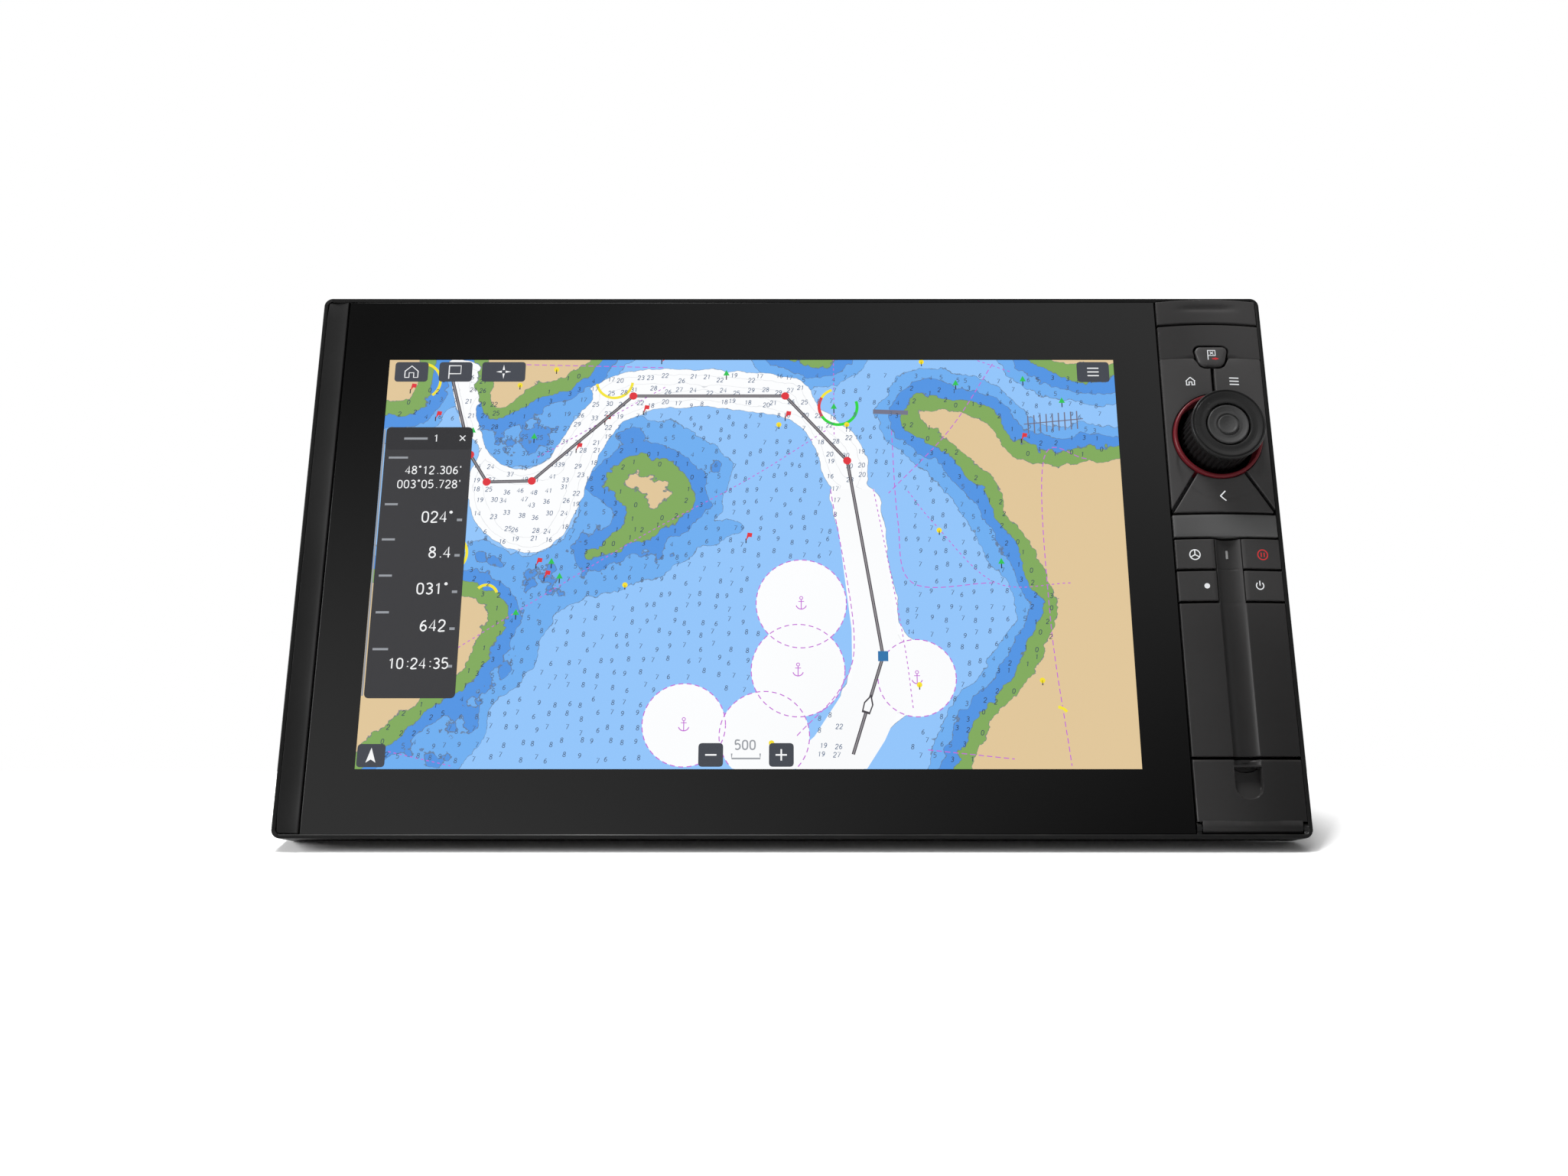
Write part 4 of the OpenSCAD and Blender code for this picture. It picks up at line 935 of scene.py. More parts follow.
NODE_LOOKS: dict[Look, tuple[str, ...]] = {
    Look.BEZEL: ("front_bezel", "left_trim"),
    Look.CAST: ("rear_housing", "cooling_fins"),
    Look.RUBBER: ("panel_gasket", "knob_grip", "knob_seal", "door_gasket"),
    Look.SILICONE: ("housing_seal", "keymat"),
    Look.GLASS: ("cover_glass",),
    Look.PRINT: ("glass_mask",),
    Look.GEL: ("optical_bond",),
    Look.CELL: ("lcd_cell",),
    Look.SHEET: ("backlight_unit",),
    Look.ALUMINIUM: ("chassis_plate", "joystick_base", "gimbal_ring"),
    Look.COLUMN: ("top_cap", "keypad_frame", "lower_fascia", "card_door"),
    Look.PLATE: ("name_plate",),
    Look.PIPE: ("indicator_light",),
    Look.RED: ("light_ring",),
    Look.BOARD: ("keypad_board", "card_board", "main_board", "power_board", "connector_board", "wifi_antenna"),
    Look.CHIP: ("tact_switches", "board_chips", "buzzer"),
    Look.BRASS: ("gimbal_hub",),
    Look.STEEL: ("knob_shaft", "door_pin", "card_sockets", "case_screws", "board_screws"),
    Look.KNOB: ("knob_core", "knob_cap", "knob_button"),
    Look.KEY: ("waypoint_key", "home_key", "menu_key", "back_key", "pilot_key", "standby_key", "user_key",
            "power_key"),
    Look.PAD: ("thermal_pad",),
    Look.PART: ("power_components",),
    Look.CERAMIC: ("gps_antenna",),
    Look.NYLON: ("pressure_vent", "power_connector", "network_connectors", "bus_connectors", "sonar_connectors"),
    Look.FILM: ("ribbon_cables",),
}


def dress_nodes() -> None:
    """Gives every node of the frame its procedural material, in the node's own slots."""
    for look, names in NODE_LOOKS.items():
        for name in names:
            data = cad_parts[name].data
            if not data.materials:
                data.materials.append(look.value.material())
            for place in range(len(data.materials)):
                data.materials[place] = look.value.material()


# ---------------------------------------------------------------- the front's own shapes


@dataclass(frozen=True)
class Column:
    """The crowned front of the key column, and the finger channel down its middle."""

    face: float = -20.0
    floor: float = -13.0
    mid: float = 200.0
    left: float = 176.2
    right: float = 224.0
    half: float = 24.0
    top: float = 126.25
    rise_low: float = 0.3
    rise_gain: float = 2.4
    channel_half: float = 6.0
    channel_deep: float = 3.0
    rim: float = 0.45

    def rise(self, z: Array) -> Array:
        """How far the middle of the front stands out, growing evenly towards the top."""
        return self.rise_low + self.rise_gain * (z + self.top) / (2 * self.top)

    def crown(self, x: Array, z: Array) -> Array:
        """Depth of the crowned front: a circular arc over the column's width.

        Args:
            x: X of the points.
            z: Z of the points.

        Returns:
            The depths.
        """
        s = self.rise(z)
        r = (self.half**2 + s**2) / (2 * s)
        return self.face - s + r - np.sqrt(r**2 - (x - self.mid) ** 2)

    def channelled(self, x: Array, z: Array) -> Array:
        """Depth of the front with the channel: the deeper of the crown and a round groove,
        joined by a small smooth curve.

        Args:
            x: X of the points.
            z: Z of the points.

        Returns:
            The depths.
        """
        s = self.rise(z)
        r = (self.channel_half**2 + self.channel_deep**2) / (2 * self.channel_deep)
        across = np.clip(np.abs(x - self.mid), 0.0, r)
        groove = self.face - s + self.channel_deep - r + np.sqrt(r**2 - across**2)
        crown = self.crown(x, z)
        return 0.5 * (crown + groove + np.sqrt((crown - groove) ** 2 + 0.04))

    def grid(self, x: Array, z: Array) -> tuple[Array, Array, Array]:
        """A rectangular grid from its lines, with each point's distance from the border.

        Args:
            x: the lines across.
            z: the lines up.

        Returns:
            X, Z and the distance from the border.
        """
        gx, gz = np.meshgrid(x, z, indexing="ij")
        gap = np.minimum(np.minimum(gx - x[0], x[-1] - gx), np.minimum(gz - z[0], z[-1] - gz))
        return gx, gz, gap


COLUMN = Column()
KNOB_AXIS: Point = (200.0, 56.7)


@dataclass(frozen=True)
class WaypointOutline:
    """The outline of the waypoint key: wider at its top, with larger lower corners."""

    mid_x: float = 200.0
    mid_z: float = 96.5
    width: float = 15.0
    height: float = 9.8
    top_r: float = 2.2
    low_r: float = 3.6
    narrow: float = 1.1
    proud: float = 0.9

    def points(self, grow: float = 0.0, steps: int = 14) -> Array:
        """The outline grown by a distance, as two corner arcs and their mirror image.

        Args:
            grow: how far outside the key's own edge the line runs.
            steps: the pieces of each corner arc.

        Returns:
            The points, clockwise from the top.
        """
        top = np.array([self.width / 2 - self.top_r, self.height / 2 - self.top_r])
        low = np.array([self.width / 2 - self.narrow - self.low_r, self.low_r - self.height / 2])
        run = top - low
        lean = math.atan2(run[0], run[1]) + math.asin((self.top_r - self.low_r) / float(np.hypot(*run)))
        upper = np.linspace(math.pi / 2, -lean, steps)
        lower = np.linspace(-lean, -math.pi / 2, steps)
        right = np.vstack([
            top + (self.top_r + grow) * np.stack([np.cos(upper), np.sin(upper)], 1),
            low + (self.low_r + grow) * np.stack([np.cos(lower), np.sin(lower)], 1),
        ])
        ring = np.vstack([right, right[::-1] * (-1, 1)])
        return ring + (self.mid_x, self.mid_z)

    def from_pole(self, pole: Point, grow: float, below: float = np.inf) -> tuple[Array, Array]:
        """Angle and distance of many points of the outline, seen from a pole.

        Args:
            pole: X and Z of the pole.
            grow: how far outside the key's own edge the line runs.
            below: only points under this Z are kept.

        Returns:
            The angles, sorted, and the distances that go with them.
        """
        ring = self.points(grow, 40)
        fill = np.linspace(0, 1, 12, endpoint=False)[None, :, None]
        dense = (ring[:, None, :] * (1 - fill) + np.roll(ring, -1, 0)[:, None, :] * fill).reshape(-1, 2)
        dense = dense[dense[:, 1] < below]
        at = np.arctan2(dense[:, 1] - pole[1], dense[:, 0] - pole[0])
        far = np.hypot(dense[:, 0] - pole[0], dense[:, 1] - pole[1])
        order = np.argsort(at)
        return at[order], far[order]

    def radius(self, pole: Point, angle: Array, grow: float) -> Array:
        """Distance from a pole inside the outline to the outline, along each angle."""
        return np.interp(angle, *self.from_pole(pole, grow), period=TAU)

    def seen_from_below(self, pole: Point, angle: Array, grow: float) -> Array:
        """Distance from a pole under the key to its lower side, and a huge value beside it."""
        return np.interp(angle, *self.from_pole(pole, grow, self.mid_z), left=1e3, right=1e3)


WAYPOINT = WaypointOutline()


def polar_grid(
    pole: Point, start: float, end: float, near: Callable[[Array], Array], far: Callable[[Array], Array],
    groove: float, rim: float, step: float = 0.55,
) -> tuple[Array, Array, Array]:
    """A grid between two curves round a pole and two straight grooves that meet there.

    Each point starts on its ray. Its angle is then closed in by the groove's half width, and its
    radius is worked out again for that angle, a few times over.

    Args:
        pole: X and Z of the pole.
        start: angle of the first groove.
        end: angle of the last groove, larger than start.
        near: inner radius for an angle.
        far: outer radius for an angle.
        groove: half the grooves' width.
        rim: width of the rounded edges.
        step: the widest spacing.

    Returns:
        X, Z and the distance from the border of each grid point.
    """
    middle = 0.5 * (start + end)
    reach = float(np.median(far(np.linspace(start, end, 50))))
    arc = (end - start) * reach
    across = spread(0.0, arc, rim, step) / arc
    span = float(np.median(far(np.array([middle])) - near(np.array([middle]))))
    inner = spread(0.0, max(span, 6.0), rim, step)
    closeness = np.minimum(inner, inner[-1] - inner)
    u = across[:, None]
    r = np.full((len(across), len(inner)), reach)
    angle = start + (end - start) * u + 0 * r
    for _ in range(7):
        slip = np.arcsin(np.clip(groove / r, 0.0, 0.9))
        angle = (start + slip) * (1 - u) + (end - slip) * u
        lo, hi = near(angle), far(angle)
        stretch = (hi - lo - 2 * rim) / (inner[-1] - 2 * rim)
        from_low = np.where(inner <= rim, inner, rim + (inner - rim) * stretch)
        r = lo + np.where(inner >= inner[-1] - rim, (hi - lo) - (inner[-1] - inner), from_low)
    side = np.minimum(r * np.sin(np.clip(angle - start, 0, math.pi / 2)),
            r * np.sin(np.clip(end - angle, 0, math.pi / 2))) - groove
    gap = np.minimum(np.maximum(side, 0.0), np.where(closeness < rim, closeness, rim))
    return pole[0] + r * np.cos(angle), pole[1] + r * np.sin(angle), gap


@dataclass(frozen=True)
class KeyColumn:
    """The pieces down the right side of the front, from the top cap to the lower fascia."""

    cap: Point = (114.25, 126.25)
    frame_low: float = 96.22
    pad: Point = (19.55, 112.95)
    shoulder: float = 96.15
    plate: Point = (7.75, 18.25)
    rows: tuple[Point, Point] = ((-7.35, 6.45), (-22.45, -8.65))
    fascia: Point = (-92.9, -23.75)
    strip_half: float = 5.8
    key_half: float = 6.2
    key_back: float = -15.0
    switch: float = -9.9
    cut_r: float = 21.05
    groove: float = 0.8

    def build(self) -> None:
        """Makes every piece of the column."""
        self.top_cap()
        self.knob_area_frame()
        self.waypoint_key()
        self.side_keys()
        self.name_plate()
        self.row_keys()
        self.lower_fascia()
        self.indicator()

    def top_cap(self) -> None:
        """The cap: a crowned plate with a long shallow dimple by its upper edge."""
        c = COLUMN
        x, z, gap = c.grid(spread(c.left, c.right, c.rim, 0.6), spread(*self.cap, c.rim, 0.4))
        dimple = 1.0 * np.exp(-(((x - c.mid) / 12.5) ** 4) - ((z - 121.9) / 1.5) ** 2)
        piece = Shell().tile(x, z, c.crown(x, z) + dimple, gap, c.rim, c.floor - 0.3).mesh("column_top_cap")
        dress(piece, "cap", Look.COLUMN.value, ["top_cap"])

    def knob_area_frame(self) -> None:
        """The fascia round the waypoint key, open below it."""
        c = COLUMN
        pole = (c.mid, self.frame_low)

        def far(angle: Array) -> Array:
            """Distance to the rectangle's sides and top.

            Args:
                angle: the angles from the pole.

            Returns:
                The distances.
            """
            side = (c.right - c.mid) / np.maximum(np.abs(np.cos(angle)), 1e-6)
            side = np.where(np.cos(angle) < 0, (c.mid - c.left) / np.maximum(np.abs(np.cos(angle)), 1e-6), side)
            return np.minimum(side, (self.pad[1] - pole[1]) / np.maximum(np.sin(angle), 1e-6))

        def near(angle: Array) -> Array:
            """Distance to the gap round the key."""
            return WAYPOINT.radius(pole, angle, 1.0)

        x, z, gap = polar_grid(pole, 0.0, math.pi, near, far, 0.0, 0.2, 0.35)
        piece = Shell().tile(x, z, c.crown(x, z) + self.wings(x, z), gap, 0.2, c.floor).mesh("waypoint_fascia")
        dress(piece, "root", Look.COLUMN.value, ["keypad_frame"])

    def waypoint_key(self) -> None:
        """The waypoint key: its outline shrunk towards its middle, with a soft raised edge."""
        c = COLUMN
        pole = (c.mid, WAYPOINT.mid_z)
        angle = np.linspace(0, TAU, 181)[:, None]
        edge = WAYPOINT.radius(pole, angle, 0.0)
        steps = np.concatenate([np.linspace(0, 0.8, 14), 1 - 0.2 * np.linspace(1, 0, 14)[1:] ** 1.6])[None, :]
        r = edge * steps
        x, z = pole[0] + r * np.cos(angle), pole[1] + r * np.sin(angle)
        front = c.crown(x, z) - WAYPOINT.proud + 0.35 * (1 - smooth_step(edge - r, 0.0, 3.2)) ** 2
        shell = Shell()
        y = front + round_over(edge - r, 0.8)
        shell.patch(x, y, z).patch(x, np.full_like(y, self.key_back), z)
        shell.patch(np.stack([x[:, -1]] * 2), np.stack([y[:, -1], np.full(len(y), self.key_back)]),
                np.stack([z[:, -1]] * 2))
        piece = dress(shell.mesh("waypoint_key_top"), "waypoint_key", Look.KEY.value, ["waypoint_key"])
        self.stem(piece.name, "waypoint_key", c.mid, WAYPOINT.mid_z)

    def stem(self, name: str, body: str, x: float, z: float) -> None:
        """A key's round stem, from the key's back to its switch.

        Args:
            name: the key's piece.
            body: the body that it rides on.
            x: X of its middle.
            z: Z of its middle.
        """
        profile = softened([(0.0, self.key_back - 0.2), (1.5, self.key_back - 0.2), (1.5, self.switch),
                (0.0, self.switch)], 0.3)
        piece = Shell().lathe(np.maximum(profile, (0.0, -99.0)), (x, z), 40).mesh(name + "_stem")
        dress(piece, body, Look.KEY.value)

    def side_keys(self) -> None:
        """The home, menu and back keys: parts of the pad between three grooves that meet at the
        knob's axis, the ring cut round the knob, and the pad's border."""
        c = COLUMN
        pole = KNOB_AXIS
        low_left = math.atan2(self.pad[0] - pole[1], c.mid - c.half - pole[0]) % TAU
        low_right = math.atan2(self.pad[0] - pole[1], c.half)

        def inner(angle: Array) -> Array:
            """The cut round the knob."""
            return np.full_like(angle, self.cut_r)

        def side_far(angle: Array) -> Array:
            """The column's side, the shoulder line or the gap round the waypoint key.

            Args:
                angle: the angles from the knob's axis.

            Returns:
                The distances.
            """
            turned = np.where(np.cos(angle) < 0, math.pi - angle, angle)
            width = np.where(np.cos(angle) < 0, pole[0] - c.left, c.right - pole[0])
            side = width / np.maximum(np.cos(turned), 1e-6)
            top = np.where(np.sin(angle) > 0, (self.shoulder - pole[1]) / np.maximum(np.sin(angle), 1e-6), 1e3)
            return np.minimum(np.minimum(side, top), WAYPOINT.seen_from_below(pole, np.asarray(angle), 1.0))

        def low_far(angle: Array) -> Array:
            """The pad's bottom line."""
            return (pole[1] - self.pad[0]) / np.maximum(-np.sin(angle), 1e-6)

        parts = (
            ("home_key", math.pi / 2, low_left, side_far, (c.mid - 8.5, 82.45)),
            ("menu_key", low_right, math.pi / 2, side_far, (c.mid + 8.5, 82.45)),
            ("back_key", low_left, low_right + TAU, low_far, (c.mid, 27.55)),
        )
        for body, start, end, far, (sx, sz) in parts:
            x, z, gap = polar_grid(pole, start, end, inner, far, self.groove, c.rim, 0.6)
            rim = np.where(z > self.shoulder - 0.6, 0.16, c.rim)
            piece = Shell().tile(x, z, self.pad_front(x, z), gap, rim, self.key_back).mesh(body + "_top")
            dress(piece, body, Look.KEY.value, [body])
            self.stem(piece.name, body, sx, sz)

    def wings(self, x: Array, z: Array) -> Array:
        """A shallow hollow at each side of the waypoint key that fades out sideways."""
        across = np.abs(x - COLUMN.mid) - 7.0
        return 0.55 * np.exp(-((np.maximum(across, 0.0) / 6.0) ** 2) - ((z - 96.2) / 0.9) ** 2)

    def pad_front(self, x: Array, z: Array) -> Array:
        """Depth of the pad round the knob: the crown with a shallow round dish under the knob."""
        far = np.hypot(x - COLUMN.mid, z - 45.0)
        return COLUMN.crown(x, z) + 0.3 * (1 - smooth_step(far, 18.8, 20.4)) + self.wings(x, z)

    def name_plate(self) -> None:
        """The blank plate: crowned, with a fine step round its border."""
        c = COLUMN
        x, z, gap = c.grid(spread(c.left, c.right, c.rim, 0.6), spread(*self.plate, c.rim, 0.5))
        step = 0.12 * (1 - smooth_step(gap, 0.8, 1.1))
        piece = Shell().tile(x, z, c.crown(x, z) + step, gap, c.rim, c.floor).mesh("blank_name_plate")
        dress(piece, "root", Look.PLATE.value, ["name_plate"])

    def row_keys(self) -> None:
        """The four small keys beside the channel, their inner edges rolled into it."""
        c = COLUMN
        for row, side, body in ((0, -1, "pilot_key"), (0, 1, "standby_key"), (1, -1, "user_key"),
                (1, 1, "power_key")):
            ends = (c.left, c.mid - self.key_half) if side < 0 else (c.mid + self.key_half, c.right)
            x, z, gap = c.grid(spread(*ends, c.rim, 0.45), spread(*self.rows[row], c.rim, 0.5))
            inward = np.abs(x - c.mid) - self.key_half
            roll = 0.35 * (1 - smooth_step(inward, 0.0, 1.6))
            piece = Shell().tile(x, z, c.crown(x, z) + roll, gap, c.rim, self.key_back).mesh(body + "_top")
            dress(piece, body, Look.KEY.value, [body])
            self.stem(piece.name, body, c.mid + side * 8.5, sum(self.rows[row]) / 2)

    def lower_fascia(self) -> None:
        """The long fascia with its channel, and the channel's strip between the small keys."""
        c = COLUMN
        shell = Shell()
        marks = (c.mid - c.channel_half, c.mid + c.channel_half)
        x, z, gap = c.grid(spread(c.left, c.right, c.rim, 0.7, marks), spread(*self.fascia, c.rim, 1.2))
        shell.tile(x, z, c.channelled(x, z), gap, c.rim, c.floor)
        ends = (c.mid - self.strip_half, c.mid + self.strip_half)
        x, z, gap = c.grid(spread(*ends, 0.2, 0.4), spread(self.fascia[1] - 0.4, self.rows[0][1], 0.2, 0.45))
        lines = sum(0.16 * np.exp(-(((z - at) / 0.22) ** 2)) for at in (-7.5, -23.2))
        hole = (np.abs(x - c.mid) < 0.7) & (np.abs(z + 0.45) < 2.1)
        shell.tile(x, z, c.channelled(x, z) + lines + 0.5 * hole, gap, 0.2, c.floor)
        dress(shell.mesh("channel_fascia"), "root", Look.COLUMN.value, ["lower_fascia"])

    def indicator(self) -> None:
        """The small light in the channel: a rounded bar with a domed face."""
        c = COLUMN
        x, z, gap = c.grid(spread(c.mid - 0.6, c.mid + 0.6, 0.2, 0.15), spread(-2.45, 1.55, 0.2, 0.3))
        front = c.channelled(x, z) - 0.12 * (1 - ((x - c.mid) / 0.6) ** 2) - 0.1
        piece = Shell().tile(x, z, front, gap, 0.2, -7.0).mesh("channel_light")
        dress(piece, "root", Look.PIPE.value, ["indicator_light"])


@dataclass(frozen=True)
class RotaryKnob:
    """The knob: a turned cap and middle disc over a ribbed grip, and the light ring at its foot."""

    top: float = -37.9
    grip_r: float = 16.3
    core_r: float = 13.0
    ribs: int = 40
    foot: float = -17.0
    ring_r: float = 20.75
    ring_w: float = 1.65
    ring_top: float = -22.7

    def build(self) -> None:
        """Makes three of the knob's pieces and the ring."""
        t = self.top
        cap = softened([
            (10.25, t + 2.2), (10.4, t + 0.6), (11.0, t + 0.5), (12.4, t + 0.86), (13.4, t + 0.76), (15.0, t + 0.12),
            (15.5, t), (15.7, t + 0.55), (16.2, t + 0.55),
            (16.4, t + 0.06), (16.8, t + 0.16), (17.0, t + 0.7), (17.0, t + 1.6), (16.4, t + 2.0), (15.9, t + 2.4),
            (15.9, t + 3.6), (10.25, t + 3.6),
        ], 0.16)
        dress(Shell().lathe(cap, KNOB_AXIS, 192).mesh("knob_top_ring"), "knob", Look.KNOB.value, ["knob_cap"])
        disc = softened([
            (0.0, t + 1.6), (1.6, t + 1.5), (3.2, t + 1.12), (4.0, t + 0.72), (4.4, t + 0.74), (4.6, t + 1.7),
            (5.2, t + 1.7),
            (5.4, t + 1.2), (6.6, t + 1.34), (7.9, t + 0.98), (8.8, t + 0.6), (9.2, t + 0.64), (9.4, t + 1.1),
            (9.6, t + 2.4), (9.6, t + 3.55), (0.0, t + 3.55),
        ], 0.15)
        dress(Shell().lathe(np.maximum(disc, (0.0, -99.0)), KNOB_AXIS, 160).mesh("knob_middle_disc"), "knob",
                Look.DISC.value, ["knob_button"])
        self.grip()
        r, w, y = self.ring_r, self.ring_w, self.ring_top
        ring = softened([(r - w, -13.1), (r, -13.1), (r, y + 0.5), (r - 0.45, y), (r - w + 0.3, y), (r - w, y + 0.3)],
                0.25)
        dress(Shell().lathe(ring, KNOB_AXIS, 160).mesh("knob_light_ring"), "root", Look.RED.value, ["light_ring"])

    def grip(self) -> None:
        """The rubber grip: a band whose radius dips between ribs, fading out under the cap."""
        t, r = self.top, self.grip_r
        depth = np.linspace(t + 4.2, self.foot + 0.6, 9)
        outer = np.stack([np.full_like(depth, r), depth], 1)
        profile = np.vstack([[(self.core_r, t + 3.62), (r - 0.5, t + 3.62), (r - 0.12, t + 3.75)], outer,
                [(r - 0.35, self.foot), (self.core_r, self.foot)]])
        fade = np.zeros(len(profile) + 1)
        fade[3:3 + len(depth)] = smooth_step(depth, t + 4.2, t + 5.6)
        fade[3 + len(depth)] = 1.0

        def dips(angle: Array, index: Array) -> Array:
            """A narrow round-bottomed groove between ribs, once every rib's angle."""
            wave = 0.5 + 0.5 * np.cos(self.ribs * angle)
            return -0.62 * wave**1.6 * fade[index]

        piece = Shell().lathe(profile, KNOB_AXIS, self.ribs * 12, dips).mesh("knob_ribbed_grip", sharp=50.0)
        dress(piece, "knob", Look.GRIP.value, ["knob_grip"])


@dataclass(frozen=True)
class CardDoor:
    """The card door: a crowned plate with a thumb scoop, hinged on a round barrel at its foot."""

    top: float = -94.2
    low: float = -121.1
    hinge: Point = (-17.6, -123.7)
    barrel: float = 2.4
    thick: float = 2.2
    lug: float = 2.2
    scoop_half: float = 6.2
    scoop: Point = (-111.8, -97.5)
    pocket_back: float = -15.6

    def hollow(self, x: Array, z: Array, front: Array) -> Array:
        """Depth of the door with its scoop: deep under its upper lip and running out downwards.

        Args:
            x: X of the points.
            z: Z of the points.
            front: depth of the plain door.

        Returns:
            The depths.
        """
        c = COLUMN
        low, high = self.scoop
        turn = low + self.scoop_half
        across = np.abs(x - c.mid)
        edge = self.scoop_half - np.where(z < turn, np.hypot(across, turn - z), across)
        edge = np.minimum(edge, high - z)
        floor = np.interp(z, [low, low + 8.3, high], [float(c.face) - 0.35, -17.35, -17.0])
        crescent = high - 2.1 * (1 - np.minimum(across / self.scoop_half, 1.0) ** 2)
        floor = floor + (-15.85 - floor) * smooth_step(z - crescent, -0.25, 0.25)
        share = smooth_step(edge, 0.0, 0.55)
        return front + np.maximum(floor - front, 0.0) * share

    def build(self) -> None:
        """Makes the door's plate and barrel, its bead and its back rib."""
        c = COLUMN
        shell = Shell()
        low, high = self.scoop
        x_marks = (c.mid - self.scoop_half, c.mid + self.scoop_half)
        x, z, gap = c.grid(spread(c.left, c.right, c.rim, 0.4, x_marks),
                spread(self.low, self.top, c.rim, 0.4, (high, high - 1.0, high - 2.0, low)))
        notch = smooth_step(z, -97.0, -96.6)
        front = c.crown(x, z) * (1 - notch) + c.channelled(x, z) * notch
        lip = 0.5 * smooth_step(z, -95.2, -94.3) ** 2
        front = self.hollow(x, z, front + lip)
        back = np.full_like(front, c.face + self.thick)
        back = np.where((np.abs(x - c.mid) < self.scoop_half + 1.8) & (z > low - 1.0) & (z < high + 1.8),
                self.pocket_back, back)
        y = front + round_over(gap, c.rim)
        shell.patch(x, y, z).patch(x, back, z).walls(x, y, z, back)
        self.roll(shell)
        dress(shell.mesh("card_door_plate"), "door", Look.COLUMN.value, ["card_door"])
        self.bead()

    def roll(self, shell: Shell) -> None:
        """Adds the hinge barrel: a profile round the hinge's axis, carried along the width.

        Args:
            shell: takes the barrel.
        """
        c = COLUMN
        y0, z0 = self.hinge
        turn = np.linspace(0.0, math.pi, 32)
        lower = np.stack([y0 - self.barrel * np.cos(turn), z0 - self.barrel * np.sin(turn)], 1)
        loop = np.vstack([[(-20.25, self.low + 0.4), (-20.22, z0 + 1.0), (-20.12, z0 + 0.3)], lower,
                [(y0 + self.barrel, z0 + 0.4), (-17.8, self.low + 0.4)]])
        ends = spread(c.left + self.lug, c.right - self.lug, 0.25, 3.0)
        gap = np.minimum(ends - ends[0], ends[-1] - ends)
        shrink = 1 - round_over(gap, 0.25) / self.barrel
        middle = np.array([(-18.4, -122.9)])
        y = middle[:, 0] + (loop[:, 0] - middle[:, 0])[:, None] * shrink
        z = middle[:, 1] + (loop[:, 1] - middle[:, 1])[:, None] * shrink
        shell.patch(np.broadcast_to(ends, y.shape), y, z, wrap=True)
        for place in (0, -1):
            rim = np.stack([y[:, place], z[:, place]], 1)
            centre = np.broadcast_to(rim.mean(0), rim.shape)
            both = np.stack([rim, centre], 1)
            shell.patch(np.full(both.shape[:2], ends[place]), both[..., 0], both[..., 1], wrap=True)

    def bead(self) -> None:
        """The seal behind the door: a soft round cord round the card well."""
        low, high = np.array([179.0, -115.5]), np.array([203.0, -97.5])
        out = 1.1
        corners = softened([(low[0] - out, low[1] - out), (high[0] + out, low[1] - out),
                (high[0] + out, high[1] + out), (low[0] - out, high[1] + out)], 1.2, 6)
        middle = corners.mean(0)
        turn = np.linspace(0, TAU, 13)[:-1]
        offset = 1.02 * np.sin(turn)
        outward = np.sign(corners - middle)
        path = corners[:, None, :] + outward[:, None, :] * offset[None, :, None] * 0.75
        y = -14.15 - 1.0 * np.cos(turn)[None, :] * np.ones((len(corners), 1))
        path = np.concatenate([path, path[:, :1]], 1)
        y = np.concatenate([y, y[:, :1]], 1)
        piece = Shell().patch(path[..., 0], y, path[..., 1], wrap=True).mesh("card_door_seal", sharp=60.0)
        dress(piece, "door", Look.RUBBER.value, ["door_gasket"])


@dataclass(frozen=True)
class ScreenGlass:
    """The bonded cover glass and the hollow-fronted trim strip at its left."""

    left: float = -213.4
    right: float = 175.2
    half: float = 126.25
    front: float = -19.9
    back: float = -17.1
    trim: Point = (-224.0, -214.2)
    trim_hollow: float = 0.8
    trim_end: float = 126.15
    trim_back: float = -13.3

    def build(self) -> None:
        """Makes the glass, with a ground edge, and the strip."""
        c = COLUMN
        x, z, gap = c.grid(spread(self.left, self.right, 0.5, 12.0), spread(-self.half, self.half, 0.5, 12.0))
        flat = np.full_like(x, self.front)
        dress(Shell().tile(x, z, flat, gap, 0.5, self.back).mesh("cover_glass_sheet"), "root", Look.GLASS.value,
                ["cover_glass"])
        x0, x1 = self.trim
        half = (x1 - x0) / 2
        r = (half**2 + self.trim_hollow**2) / (2 * self.trim_hollow)
        x, z, gap = c.grid(spread(x0, x1, 0.4, 0.5), spread(-self.trim_end, self.trim_end, 0.4, 8.0))
        x, z = self.rounded_outer(x, z, x0, 2.0)
        hollow = self.trim_hollow - r + np.sqrt(r**2 - (x - (x0 + half)) ** 2)
        piece = Shell().tile(x, z, c.face + hollow, gap, 0.4, self.trim_back).mesh("left_trim_strip")
        dress(piece, "trim", Look.TRIM.value, ["left_trim"])

    def rounded_outer(self, x: Array, z: Array, edge: float, radius: float) -> tuple[Array, Array]:
        """Rounds the two corners on the left edge by drawing each corner square onto a disc.

        Args:
            x: X of the points.
            z: Z of the points.
            edge: X of the left edge.
            radius: radius of the corners.

        Returns:
            X and Z of the moved points.
        """
        cx, cz = edge + radius, self.trim_end - radius
        dx, dz = np.minimum(x - cx, 0.0), np.maximum(np.abs(z) - cz, 0.0)
        shrink = np.where((dx < 0) & (dz > 0), np.maximum(-dx, dz) / np.maximum(np.hypot(dx, dz), 1e-9), 1.0)
        return np.where(dx < 0, cx + dx * shrink, x), np.where(dz > 0, np.sign(z) * (cz + dz * shrink), z)


# ---------------------------------------------------------------- prints and picture


